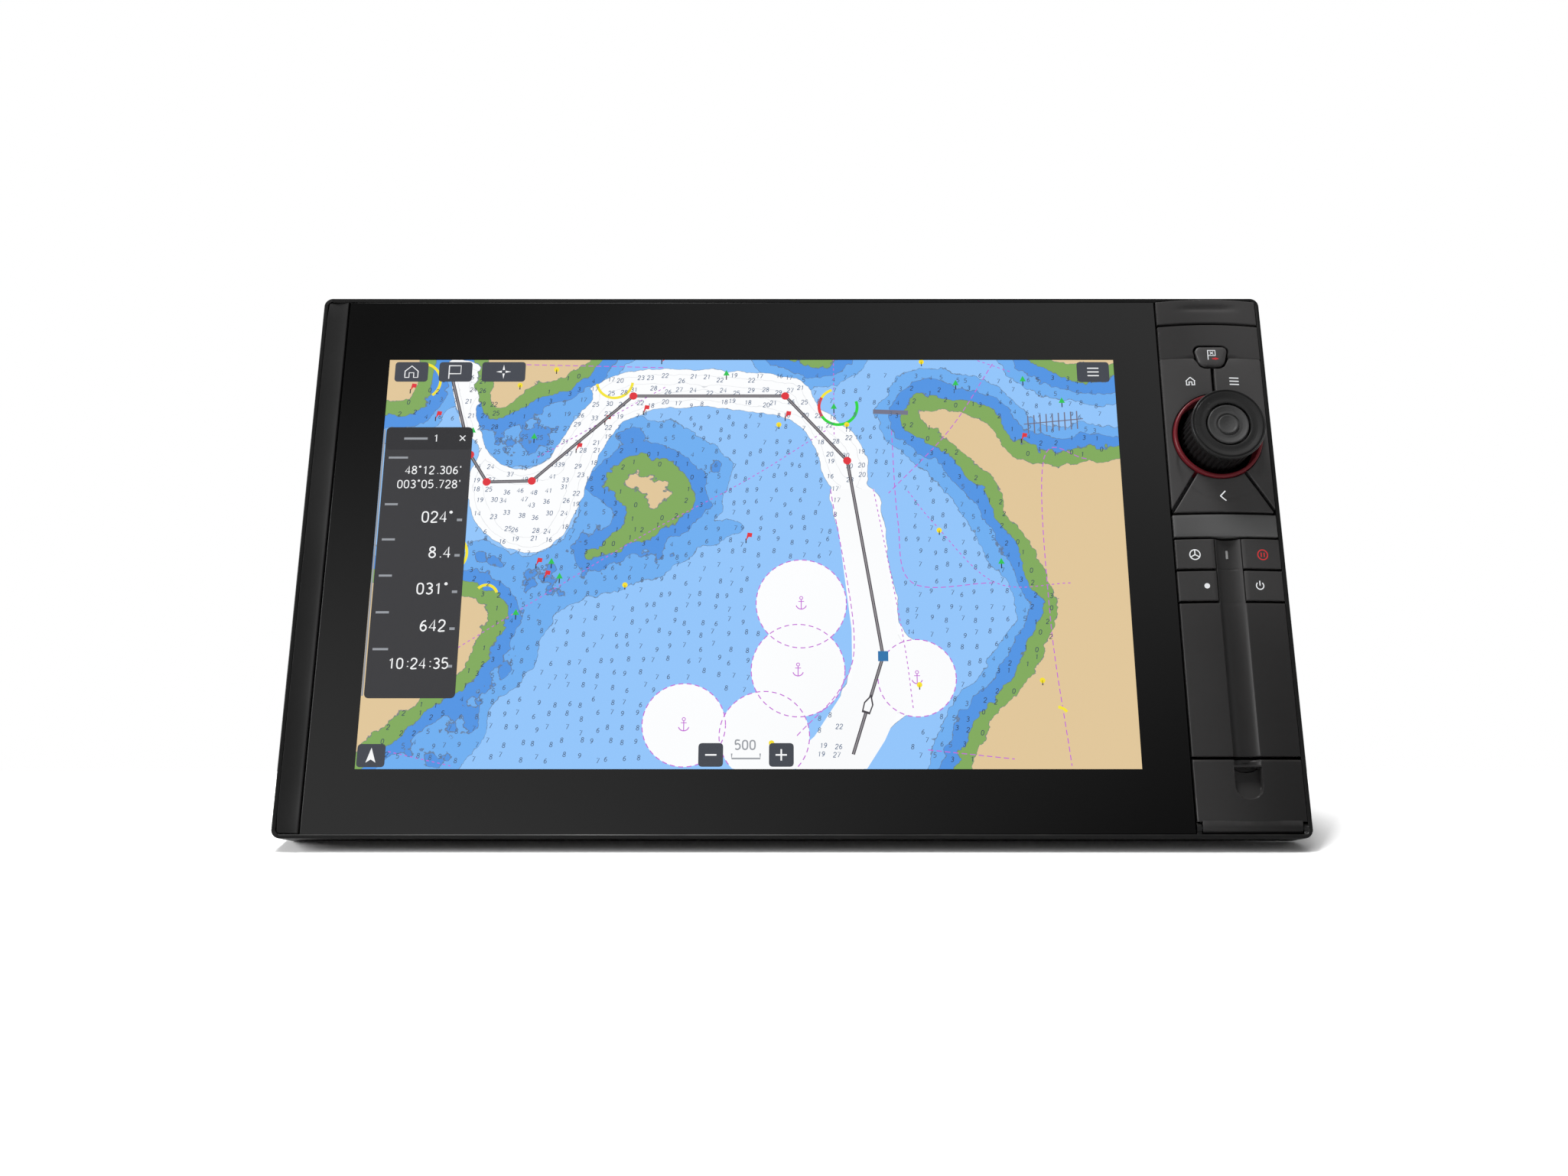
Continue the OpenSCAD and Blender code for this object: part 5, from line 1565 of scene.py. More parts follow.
def ribbon(line: Line, width: float, closed: bool = False) -> tuple[Array, Array]:
    """The two edges of a flat line of some width, as grids of X and Z.

    Args:
        line: the points of the middle of the line.
        width: its width.
        closed: whether its end joins its start.

    Returns:
        X and Z of the grid, two points across.
    """
    p = np.asarray(line, float)
    if closed:
        p = np.vstack([p, p[:1]])
    along = np.gradient(p, axis=0)
    if closed:
        along[0] = along[-1] = p[1] - p[-2]
    along /= np.maximum(np.linalg.norm(along, axis=1, keepdims=True), 1e-9)
    across = np.stack([-along[:, 1], along[:, 0]], 1) * width / 2
    both = np.stack([p + across, p - across], 1)
    return both[..., 0], both[..., 1]


def circle(x: float, z: float, r: float, steps: int = 40, start: float = 0.0, end: float = TAU) -> Array:
    """Points round a circle or an arc; a full circle doesn't repeat its first point.

    Args:
        x: X of the middle.
        z: Z of the middle.
        r: the radius.
        steps: how many steps it has.
        start: the first angle.
        end: the last angle.

    Returns:
        The points.
    """
    full = abs(end - start - TAU) < 1e-6
    angle = np.linspace(start, end, steps + 1)[: steps if full else steps + 1]
    return np.stack([x + r * np.cos(angle), z + r * np.sin(angle)], 1)


def dashes(line: Array, on: float, off: float) -> list[Array]:
    """Cuts a line into dashes of length on with gaps of length off, by distance along it.

    Args:
        line: the points of the line.
        on: length of a dash.
        off: length of a gap.

    Returns:
        The points of each dash.
    """
    length = np.concatenate([[0.0], np.cumsum(np.linalg.norm(np.diff(line, axis=0), axis=1))])
    starts = np.arange(0.0, length[-1], on + off)
    pieces = []
    for s in starts:
        at = np.linspace(s, min(s + on, length[-1]), 5)
        pieces.append(np.stack([np.interp(at, length, line[:, 0]), np.interp(at, length, line[:, 1])], 1))
    return pieces


DIGITS: dict[str, list[list[Point]]] = {
    "0": [[(0.5, 1.6), (0.15, 1.4), (0.06, 0.8), (0.15, 0.2), (0.5, 0.0), (0.85, 0.2), (0.94, 0.8), (0.85, 1.4),
            (0.5, 1.6)]],
    "1": [[(0.2, 1.25), (0.55, 1.6), (0.55, 0.0)]],
    "2": [[(0.08, 1.2), (0.2, 1.5), (0.5, 1.6), (0.85, 1.45), (0.92, 1.1), (0.7, 0.7), (0.06, 0.0), (0.96, 0.0)]],
    "3": [[(0.1, 1.45), (0.5, 1.6), (0.85, 1.4), (0.85, 1.05), (0.45, 0.86), (0.88, 0.65), (0.9, 0.25), (0.5, 0.0),
            (0.08, 0.15)]],
    "4": [[(0.74, 0.0), (0.74, 1.6), (0.04, 0.45), (0.98, 0.45)]],
    "5": [[(0.88, 1.6), (0.2, 1.6), (0.14, 0.9), (0.5, 1.02), (0.88, 0.8), (0.9, 0.3), (0.5, 0.0), (0.08, 0.15)]],
    "6": [[(0.82, 1.5), (0.4, 1.35), (0.12, 0.8), (0.15, 0.25), (0.5, 0.0), (0.86, 0.25), (0.86, 0.65), (0.5, 0.88),
            (0.16, 0.65)]],
    "7": [[(0.06, 1.6), (0.94, 1.6), (0.38, 0.0)]],
    "8": [[(0.5, 0.86), (0.15, 1.1), (0.2, 1.45), (0.5, 1.6), (0.8, 1.45), (0.85, 1.1), (0.5, 0.86), (0.1, 0.6),
            (0.12, 0.2), (0.5, 0.0), (0.88, 0.2), (0.9, 0.6), (0.5, 0.86)]],
    "9": [[(0.18, 0.1), (0.6, 0.25), (0.88, 0.8), (0.85, 1.35), (0.5, 1.6), (0.14, 1.35), (0.14, 0.95), (0.5, 0.72),
            (0.84, 0.95)]],
    ".": [[(0.42, 0.0), (0.42, 0.14)]],
    ":": [[(0.42, 0.25), (0.42, 0.4)], [(0.42, 1.0), (0.42, 1.15)]],
    "*": [[(0.3, 1.35), (0.15, 1.5), (0.3, 1.65), (0.45, 1.5), (0.3, 1.35)]],
    "'": [[(0.2, 1.65), (0.2, 1.3)]],
    "-": [[(0.1, 0.8), (0.8, 0.8)]],
    " ": [],
}
NARROW = {".": 0.5, ":": 0.55, "'": 0.45, "*": 0.6, " ": 0.6, "1": 0.95}


def write_number(shell: Shell, text: str, x: float, z: float, height: float, width: float, y: float,
        lean: float = 0.0) -> float:
    """Draws numerals as ribbons, from their low left corner.

    Args:
        shell: takes the ribbons.
        text: digits, points, colons and degree marks.
        x: X of the first numeral's left side.
        z: Z of the numerals' foot.
        height: the height of a numeral.
        width: the width of its stroke.
        y: the depth of the print.
        lean: how far the top leans right, as a share of the height.

    Returns:
        X of the text's right end.
    """
    unit = height / 1.6
    for mark in text:
        for stroke in DIGITS[mark]:
            p = np.asarray(stroke, float)
            if len(p) > 4:
                p = flowing(stroke, 4, closed=False)
            line = np.stack([x + (p[:, 0] + lean * p[:, 1]) * unit, z + p[:, 1] * unit], 1)
            gx, gz = ribbon(line, width)
            shell.patch(gx, y, gz)
        x += unit * (NARROW.get(mark, 1.0) + 0.32)
    return x


@dataclass
class ChartPicture:
    """The lit picture: an invented chart with its soundings, marks, a route and the data panel."""

    left: float = -191.9
    right: float = 153.7
    low: float = -98.4
    high: float = 96.0
    base: float = -19.92
    layer: float = 0.006
    cell: float = 1.35
    coasts: list[list[Point]] = field(default_factory=lambda: [
        [(170, 50), (140, 52), (122, 50), (108, 54), (97, 68), (82, 76), (62, 79), (52, 68), (60, 58), (74, 45),
                (88, 30), (94, 17),
         (103, 2), (111, -16), (113, -32), (106, -47), (92, -64), (81, -78), (75, -92), (74, -120), (190, -120),
         (190, 40)],
        [(-82, 44), (-68, 48), (-56, 45), (-46, 36), (-44, 26), (-50, 16), (-60, 11), (-72, 7), (-85, 0), (-92, -3),
                (-93, 0), (-84, 6), (-77, 14), (-79, 24), (-87, 30), (-89, 37)],
        [(-215, -10), (-165, -12), (-146, -13), (-133, -20), (-131, -34), (-138, -50), (-150, -64), (-166, -76),
                (-178, -86), (-200, -104), (-225, -80)],
        [(-150, 88), (-147, 72), (-136, 66), (-122, 74), (-104, 82), (-92, 92), (-88, 112), (-150, 112)],
        [(-215, 112), (-215, 72), (-186, 66), (-172, 78), (-170, 100), (-172, 112)],
        [(112, 96), (126, 88), (150, 86), (190, 90), (190, 120), (110, 120)],
        [(-8, 101), (6, 94), (22, 97), (24, 112), (-10, 112)],
    ])
    deeps: list[list[Point]] = field(default_factory=lambda: [
        [(-161, 84), (-155, 62), (-146, 50), (-151, 34), (-147, 18), (-136, 5), (-118, 1), (-104, 12), (-96, 30),
                (-88, 52), (-76, 66),
         (-46, 73), (-4, 66), (9, 55), (17, 33), (30, 28), (36, 38), (31, 56), (13, 72), (2, 86), (-34, 90),
         (-72, 91), (-92, 84),
         (-108, 70), (-120, 62), (-137, 72), (-147, 92), (-163, 96)],
        [(18, 31), (38, 31), (45, -6), (51, -36), (62, -44), (72, -58), (64, -72), (48, -76), (36, -92), (20, -110),
                (-30, -112), (4, -96), (20, -70),
         (30, -40), (28, -10)],
    ])
    bay: tuple[Point, ...] = ((-149, 73), (-145, 55), (-138, 45), (-125, 41), (-114, 45), (-108, 55), (-99, 70),
            (-94, 79), (-105, 84), (-132, 77))
    bank: tuple[Point, ...] = (
        (-97, 37), (-86, 61), (-63, 66), (-34, 52), (-29, 32), (-42, 19), (-24, 12), (-52, -5), (-77, -18),
        (-95, -21), (-109, -34),
        (-116, -51), (-132, -67), (-137, -84), (-151, -100), (-190, -100), (-172, -60), (-160, -20), (-150, 0),
        (-142, 5), (-118, 0), (-101, 12),
    )
    spots: tuple[tuple[float, float, float], ...] = ((4.3, -23.7, 20.5), (2.8, -54.4, 21.0), (-47.9, -79.0, 18.5),
            (-12.2, -84.0, 20.0), (56.0, -57.9, 17.5))
    route: list[Point] = field(default_factory=lambda: [(-163, 92), (-150.5, 48), (-142, 34.5), (-121, 35),
            (-75, 77.5), (-3, 77.5), (26, 45), (41, -48), (34, -70), (27, -92)])

    def depth(self, place: int) -> float:
        """The depth of a layer of the picture, each a hair in front of the one before."""
        return self.base - place * self.layer

    def held(self, p: Array) -> Array:
        """Points kept inside the picture's border."""
        return np.clip(p, (self.left, self.low), (self.right, self.high))

    def build(self) -> None:
        """Makes the ground and everything printed over it."""
        self.ground()
        self.anchorages()
        self.limits()
        self.soundings()
        self.buoys()
        self.course()
        self.panel()

    def ground(self) -> None:
        """The ground: a flat grid that stores the distance inside the coast and inside deep water."""
        x = np.linspace(self.left, self.right, int((self.right - self.left) / self.cell) + 1)
        z = np.linspace(self.low, self.high, int((self.high - self.low) / self.cell) + 1)
        gx, gz = np.meshgrid(x, z, indexing="ij")
        inside = [inside_distance(gx, gz, flowing(c, 6)) for c in self.coasts]
        inside[1] = np.where(inside[1] > 0, 0.62 * inside[1], inside[1])
        ground = np.max(inside, 0)
        deep = np.max([inside_distance(gx, gz, flowing(d, 6)) for d in self.deeps], 0)
        bay, bank = (inside_distance(gx, gz, flowing(s, 6)) for s in (self.bay, self.bank))
        deep = np.minimum(deep, -bay)
        for shoal in (bay, bank):
            ground = np.maximum(ground, np.minimum(shoal - 12.0, -7.0))
        piece = Shell().patch(gx, self.depth(0), gz).mesh("chart_ground", faces_front=True)
        at = np.zeros(len(piece.data.vertices) * 3, np.float32)
        piece.data.vertices.foreach_get("co", at)
        at = at.reshape(-1, 3) / MM
        i = np.rint((at[:, 0] - self.left) / (x[1] - x[0])).astype(int)
        j = np.rint((at[:, 2] - self.low) / (z[1] - z[0])).astype(int)
        for name, values in (("ground", ground), ("deep", deep)):
            stored = piece.data.attributes.new(name, "FLOAT", "POINT")
            stored.data.foreach_set("value", values[i, j].astype(np.float32))
        dress(piece, "root", SeaFinish())

    def printed(self, name: str, shell: Shell, finish: PictureFinish) -> None:
        """Makes one printed layer, cut off at the picture's border.

        Args:
            name: the piece's name.
            shell: its patches.
            finish: its finish.
        """
        shell.points = [np.column_stack([self.held(p[:, [0, 2]])[:, 0], p[:, 1],
                self.held(p[:, [0, 2]])[:, 1]]) for p in shell.points]
        dress(shell.mesh(name, faces_front=True), "root", finish)

    def anchorages(self) -> None:
        """Round deep-water anchorages with dashed borders and a small anchor in each."""
        white, dash = Shell(), Shell()
        for k, (x, z, r) in enumerate(self.spots):
            white.fan(self.held(circle(x, z, r, 72)), self.depth(1) - 0.0004 * k)
            for piece in dashes(circle(x, z, r, 90, 0.0, TAU * 0.999), 2.2, 1.5):
                if piece[:, 1].min() > self.low + 0.3:
                    self.line(dash, piece, 0.45, 3)
            if z > self.low + 12 and k != 3:
                self.anchor(dash, x, z)
        band = np.array([[(19.2, 31.0), (27.0, -35.8), (27.0, -58.0), (10.0, -84.0), (-6.0, -98.3)],
                [(38.4, 31.0), (47.6, -35.8), (50.4, -66.0), (41.0, -86.0), (33.0, -98.3)]])
        white.patch(band[..., 0].T, self.depth(1) - 0.003, band[..., 1].T)
        self.printed("chart_anchorages", white, PictureFinish("chart_white", tint(252, 253, 254)))
        self.printed("chart_anchor_marks", dash, PictureFinish("chart_magenta", tint(196, 96, 214)))

    def line(self, shell: Shell, points: Line, width: float, place: int, closed: bool = False) -> None:
        """Draws a flat line of some width at a layer's depth."""
        x, z = ribbon(points, width, closed)
        shell.patch(x, self.depth(place), z)

    def anchor(self, shell: Shell, x: float, z: float) -> None:
        """A plain anchor: a ring, a shank, a stock and a curved arm.

        Args:
            shell: takes the anchor.
            x: X of its middle.
            z: Z of its middle.
        """
        self.line(shell, circle(x, z + 2.6, 0.7, 14), 0.35, 3, closed=True)
        self.line(shell, [(x, z + 1.9), (x, z - 2.6)], 0.4, 3)
        self.line(shell, [(x - 1.3, z + 1.0), (x + 1.3, z + 1.0)], 0.35, 3)
        self.line(shell, circle(x, z - 0.2, 2.4, 14, math.pi * 1.1, math.pi * 1.9), 0.45, 3)

    def limits(self) -> None:
        """Dashed limit lines and the yellow light arcs."""
        lines, arcs = Shell(), Shell()
        paths: list[list[Point]] = [
            [(16, 60), (-20, 36), (-66, 10), (-110, -18), (-150, -44)], [(96, 94), (74, 60), (45, 29)],
            [(20, 58), (20, 96)],
            [(138, 46), (118, 46), (117, -30), (123, -97)], [(54, 30), (66, 14), (93, -14), (128, -14)],
            [(18, 31), (28, -36), (22, -62), (2, -84)],
            [(38, 31), (50, -38), (54, -72)], [(47, 60), (49, 16), (55, -14), (92, -14)], [(-190, -88), (-150, -97)],
            [(-145, 94), (-60, 92)],
            [(-60, 82), (-120, 46)], [(60, -90), (98, -94)], [(104, 90), (88, 96)],
        ]
        for k, path in enumerate(paths):
            line = flowing(path, 10, closed=False)
            for piece in dashes(line, 2.4 if k % 2 else 1.2, 1.3):
                self.line(lines, piece, 0.42, 2)
        for x, z, r, a, e in ((-176, 85, 9, -0.9, 1.3), (-84, 85, 8.5, 3.3, 6.2), (-158, 0, 9, -1.2, 1.2),
                (-139, -20, 5, 0.3, 2.4), (22, 72, 9, 1.9, 2.6), (118, -76, 5, 0.6, 1.5)):
            self.line(arcs, circle(x, z, r, 24, a, e), 1.3, 4)
        piers = Shell()
        for k in range(9):
            self.line(piers, [(111.5 + 2.9 * k, 58.5 + 0.3 * k), (111.5 + 2.9 * k, 67.5 + 0.3 * k)], 0.6, 2)
        self.line(piers, [(109.5, 63.2), (137.5, 66.0)], 0.5, 2)
        self.line(piers, [(38.5, 69.6), (55.0, 69.0)], 2.2, 2)
        self.printed("chart_piers", piers, PictureFinish("chart_pier", tint(112, 112, 134)))
        sectors = ((2.6, 3.7, "red", tint(226, 40, 40)), (3.7, 6.6, "green", tint(20, 214, 40)))
        for start, end, name, paint in sectors:
            arc = Shell()
            self.line(arc, circle(22, 72, 9, 30, start, end), 1.4, 4)
            self.printed(f"chart_{name}_sector", arc, PictureFinish(f"chart_sector_{name}", paint))
        self.printed("chart_limits", lines, PictureFinish("chart_magenta", tint(196, 96, 214)))
        self.printed("chart_light_arcs", arcs, PictureFinish("chart_yellow", tint(248, 232, 30)))

    def soundings(self) -> None:
        """Small grey depth numbers, scattered evenly over the water with a seeded shake."""
        rng = np.random.default_rng(21)
        gx, gz = np.meshgrid(np.arange(self.left + 5, self.right - 5, 6.6),
                np.arange(self.low + 4, self.high - 5, 6.2), indexing="ij")
        x, z = gx + rng.uniform(-1.9, 1.9, gx.shape), gz + rng.uniform(-1.7, 1.7, gz.shape)
        ground = np.max([inside_distance(x, z, flowing(c, 4)) for c in self.coasts], 0)
        deep = np.max([inside_distance(x, z, flowing(d, 4)) for d in self.deeps], 0)
        value = np.where(deep > 0, 14 + deep * 1.4, np.clip(-ground * 0.42, 0, 6.5)) + rng.uniform(-0.4, 2.6, x.shape)
        clear = np.min([np.hypot(x + 1.0 - cx, z + 0.8 - cz) - r for cx, cz, r in self.spots], 0)
        lane = (x > 21) & (x < 51) & (z < 31)
        shell, dark = Shell(), Shell()
        shown = (ground < 5.5) & (clear > 1.5) & ~lane & ~((x < -149) & (z < 64) & (z > -70))
        for px, pz, v, g in zip(x[shown], z[shown], value[shown], ground[shown]):
            number = str(max(0, int(round(float(v)))))
            write_number(dark if g > -6 else shell, number, float(px), float(pz), 2.1, 0.3, self.depth(5), 0.14)
        self.printed("chart_soundings", shell, PictureFinish("chart_grey", tint(74, 100, 134)))
        self.printed("chart_shoal_soundings", dark, PictureFinish("chart_ink", tint(38, 58, 84)))

    def buoys(self) -> None:
        """Small red and green flags, yellow buoys and black piles."""
        shells = {"red": Shell(), "green": Shell(), "yellow": Shell(), "ink": Shell()}
        spots = [
            ("red", -181, 80), ("red", -168, 66), ("red", -88, 64), ("red", -70, 69), ("red", -101, 50),
            ("red", -21, 6), ("red", -3, 66), ("red", 108, 55), ("red", -117, -6),
            ("red", -113, -12), ("red", -62, 95), ("green", -150, 58), ("green", -121, 55), ("green", -31, 87),
            ("green", 20, 70), ("green", 78, 82),
            ("green", 110, 84), ("green", 96, -6), ("green", -110, -6), ("green", -106, -13), ("green", -125, -30),
            ("green", 128, 73), ("yellow", -112, 90), ("yellow", -129, 82),
            ("yellow", 68, 10), ("yellow", -76, -16), ("yellow", 62, 94), ("yellow", 112, -60), ("yellow", 57, -62),
            ("yellow", -9, -88), ("yellow", -6, 62), ("yellow", 26, 62),
        ]
        for colour, x, z in spots:
            flag = np.array([(x, z), (x + 0.9, z + 1.9), (x + 2.6, z + 1.7), (x + 2.9, z + 3.6), (x + 0.7, z + 3.9)])
            if colour == "yellow":
                flag = circle(x, z + 1.0, 1.25, 14)
            if colour == "green":
                flag = np.array([(x - 1.5, z + 1.0), (x + 1.5, z + 1.0), (x, z + 3.8)])
            shells[colour].fan(flag, self.depth(6))
            self.line(shells["ink"], [(x, z - 1.2), (x, z + 1.0)], 0.5, 6)
        paints = {"red": tint(226, 28, 40), "green": tint(20, 196, 70), "yellow": tint(248, 226, 20),
                "ink": tint(24, 26, 30)}
        for colour, shell in shells.items():
            self.printed(f"chart_{colour}_marks", shell, PictureFinish(f"chart_mark_{colour}", paints[colour]))

    def course(self) -> None:
        """The route: a grey line between two dark edges, red waypoints and the boat."""
        dark, grey, dots, blue, white = Shell(), Shell(), Shell(), Shell(), Shell()
        line = np.asarray(self.route, float)
        for a, b in zip(line[:-1], line[1:]):
            leg = a + (b - a) * np.linspace(0, 1, 3)[:, None]
            self.line(dark, leg, 1.5, 7)
            self.line(grey, leg, 0.62, 8)
        for x, z in self.route[1:7]:
            dots.fan(circle(x, z, 1.9, 24), self.depth(9))
        x, z = self.route[7]
        blue.fan(np.array([(x - 2.3, z - 2.3), (x + 2.3, z - 2.3), (x + 2.3, z + 2.3), (x - 2.3, z + 2.3)]),
                self.depth(9))
        x, z = self.route[8]
        hull = np.array([(-1.9, -4.0), (1.9, -4.0), (2.2, 0.6), (0.0, 5.0), (-2.2, 0.6)])
        turn = math.atan2(7.0, 22.0)
        hull = hull @ np.array([[math.cos(turn), -math.sin(turn)], [math.sin(turn), math.cos(turn)]]) + (x, z)
        dark.fan(hull, self.depth(9))
        white.fan(hull.mean(0) + (hull - hull.mean(0)) * 0.72, self.depth(10))
        self.printed("route_edges", dark, PictureFinish("route_dark", tint(62, 58, 64)))
        self.printed("route_line", grey, PictureFinish("route_grey", tint(140, 136, 140)))
        self.printed("route_waypoints", dots, PictureFinish("chart_mark_red", tint(226, 28, 40)))
        self.printed("route_target", blue, PictureFinish("route_blue", tint(22, 110, 170)))
        self.printed("route_boat", white, PictureFinish("chart_white", tint(252, 253, 254)))

    @staticmethod
    def plaque(x0: float, x1: float, z0: float, z1: float, radius: float) -> Array:
        """The outline of a rounded rectangle."""
        return softened([(x0, z0), (x1, z0), (x1, z1), (x0, z1)], radius, 8)

    def panel(self) -> None:
        """The data panel, the tiles with their plain icons, and the scale bar."""
        plates, panel, heads, print_, dim = Shell(), Shell(), Shell(), Shell(), Shell()
        y = self.depth(13)
        panel.fan(self.plaque(-190.6, -150.0, -67.1, 61.7, 2.4), self.depth(11))
        dim.fan(self.plaque(-191.8, -191.0, -66.0, 60.6, 0.3), self.depth(11))
        heads.fan(self.plaque(-190.6, -150.0, 50.5, 61.7, 2.4), self.depth(12))
        cross = np.array([(-1.3, -1.3), (1.3, 1.3)])
        for flip in (1, -1):
            self.line(print_, cross * (1, flip) + (-154.6, 56.2), 0.45, 13)
        write_number(print_, "1", -168.0, 54.5, 3.4, 0.45, y)
        self.line(dim, [(-182, 56.0), (-171, 56.0)], 1.1, 13)
        rows = [("48*12.306'", 38.5, 3.7), ("003*05.728'", 31.6, 3.7), ("024*", 15.0, 5.0), ("8.4", -2.0, 5.0),
                ("031*", -19.2, 5.0), ("642", -36.4, 5.0), ("10:24:35", -53.6, 4.6)]
        for text, z, height in rows:
            wide = sum(NARROW.get(m, 1.0) + 0.32 for m in text) * height / 1.6
            right = -155.6 if len(text) < 7 else -153.2
            write_number(print_, text, right - wide, z, height, height * 0.13, y)
        for z, wide in ((46.5, 9.0), (23.6, 6.0), (6.6, 6.0), (-10.6, 6.0), (-27.8, 6.0), (-44.8, 7.0)):
            self.line(dim, [(-188.5, z), (-188.5 + wide, z)], 1.0, 13)
        for z in (15.6, -1.4, -18.6, -35.8, -53.0):
            self.line(dim, [(-154.6, z + 0.4), (-152.2, z + 0.4)], 1.2, 13)
        tiles = [(-189.0, -173.2, 84.8, 94.9), (-168.0, -152.2, 84.8, 94.9), (-147.6, -126.8, 84.8, 94.9),
                (136.0, 151.4, 84.6, 94.9),
                 (-192.0 + 0.6, -179.0, -97.6, -87.4), (-41.2, -30.3, -97.4, -87.0), (-10.1, 0.8, -97.4, -87.0)]
        for tile in tiles:
            plates.fan(self.plaque(*tile, 1.8), self.depth(12))
        home = np.array([(-184.2, 88.2), (-184.2, 90.2), (-181.1, 92.9), (-178.0, 90.2), (-178.0, 87.0),
                (-180.0, 87.0), (-180.0, 89.4), (-182.2, 89.4), (-182.2, 87.0), (-184.2, 87.0), (-184.2, 88.2)])
        self.line(print_, home, 0.5, 13)
        self.line(print_, [(-163.2, 86.3), (-163.2, 93.2)], 0.5, 13)
        self.line(print_, [(-163.2, 93.0), (-157.6, 93.0), (-157.6, 88.9), (-163.2, 88.9)], 0.5, 13)
        for turn in range(4):
            a = turn * math.pi / 2
            tip = np.array([math.cos(a), math.sin(a)])
            side = np.array([-tip[1], tip[0]]) * 0.55
            print_.fan(np.array([tip * 3.6, side + tip * 0.9, -side + tip * 0.9]) + (-137.2, 89.9), y)
        for k in (-1, 0, 1):
            self.line(print_, [(141.0, 89.8 + k * 1.9), (146.4, 89.8 + k * 1.9)], 0.55, 13)
        print_.fan(np.array([(-185.2, -89.0), (-187.4, -95.6), (-185.2, -94.2), (-183.0, -95.6)]), y)
        self.line(print_, [(-38.2, -92.2), (-33.2, -92.2)], 0.7, 13)
        self.line(print_, [(-7.2, -92.2), (-2.2, -92.2)], 0.7, 13)
        self.line(print_, [(-4.7, -94.7), (-4.7, -89.7)], 0.7, 13)
        bar = np.array([(-26.5, -91.6), (-26.5, -93.8), (-14.0, -93.8), (-14.0, -91.6)])
        self.line(dim, bar, 0.7, 13)
        write_number(dim, "500", -25.2, -89.8, 4.0, 0.65, y)
        self.printed("screen_plates", plates, PictureFinish("screen_plate", tint(52, 57, 66)))
        self.printed("screen_panel", panel, PictureFinish("screen_panel", tint(36, 36, 37)))
        self.printed("screen_panel_head", heads, PictureFinish("screen_head", tint(15)))
        self.printed("screen_white_print", print_, PictureFinish("screen_white", tint(248, 249, 250)))
        self.printed("screen_grey_print", dim, PictureFinish("screen_grey", tint(150, 154, 160)))


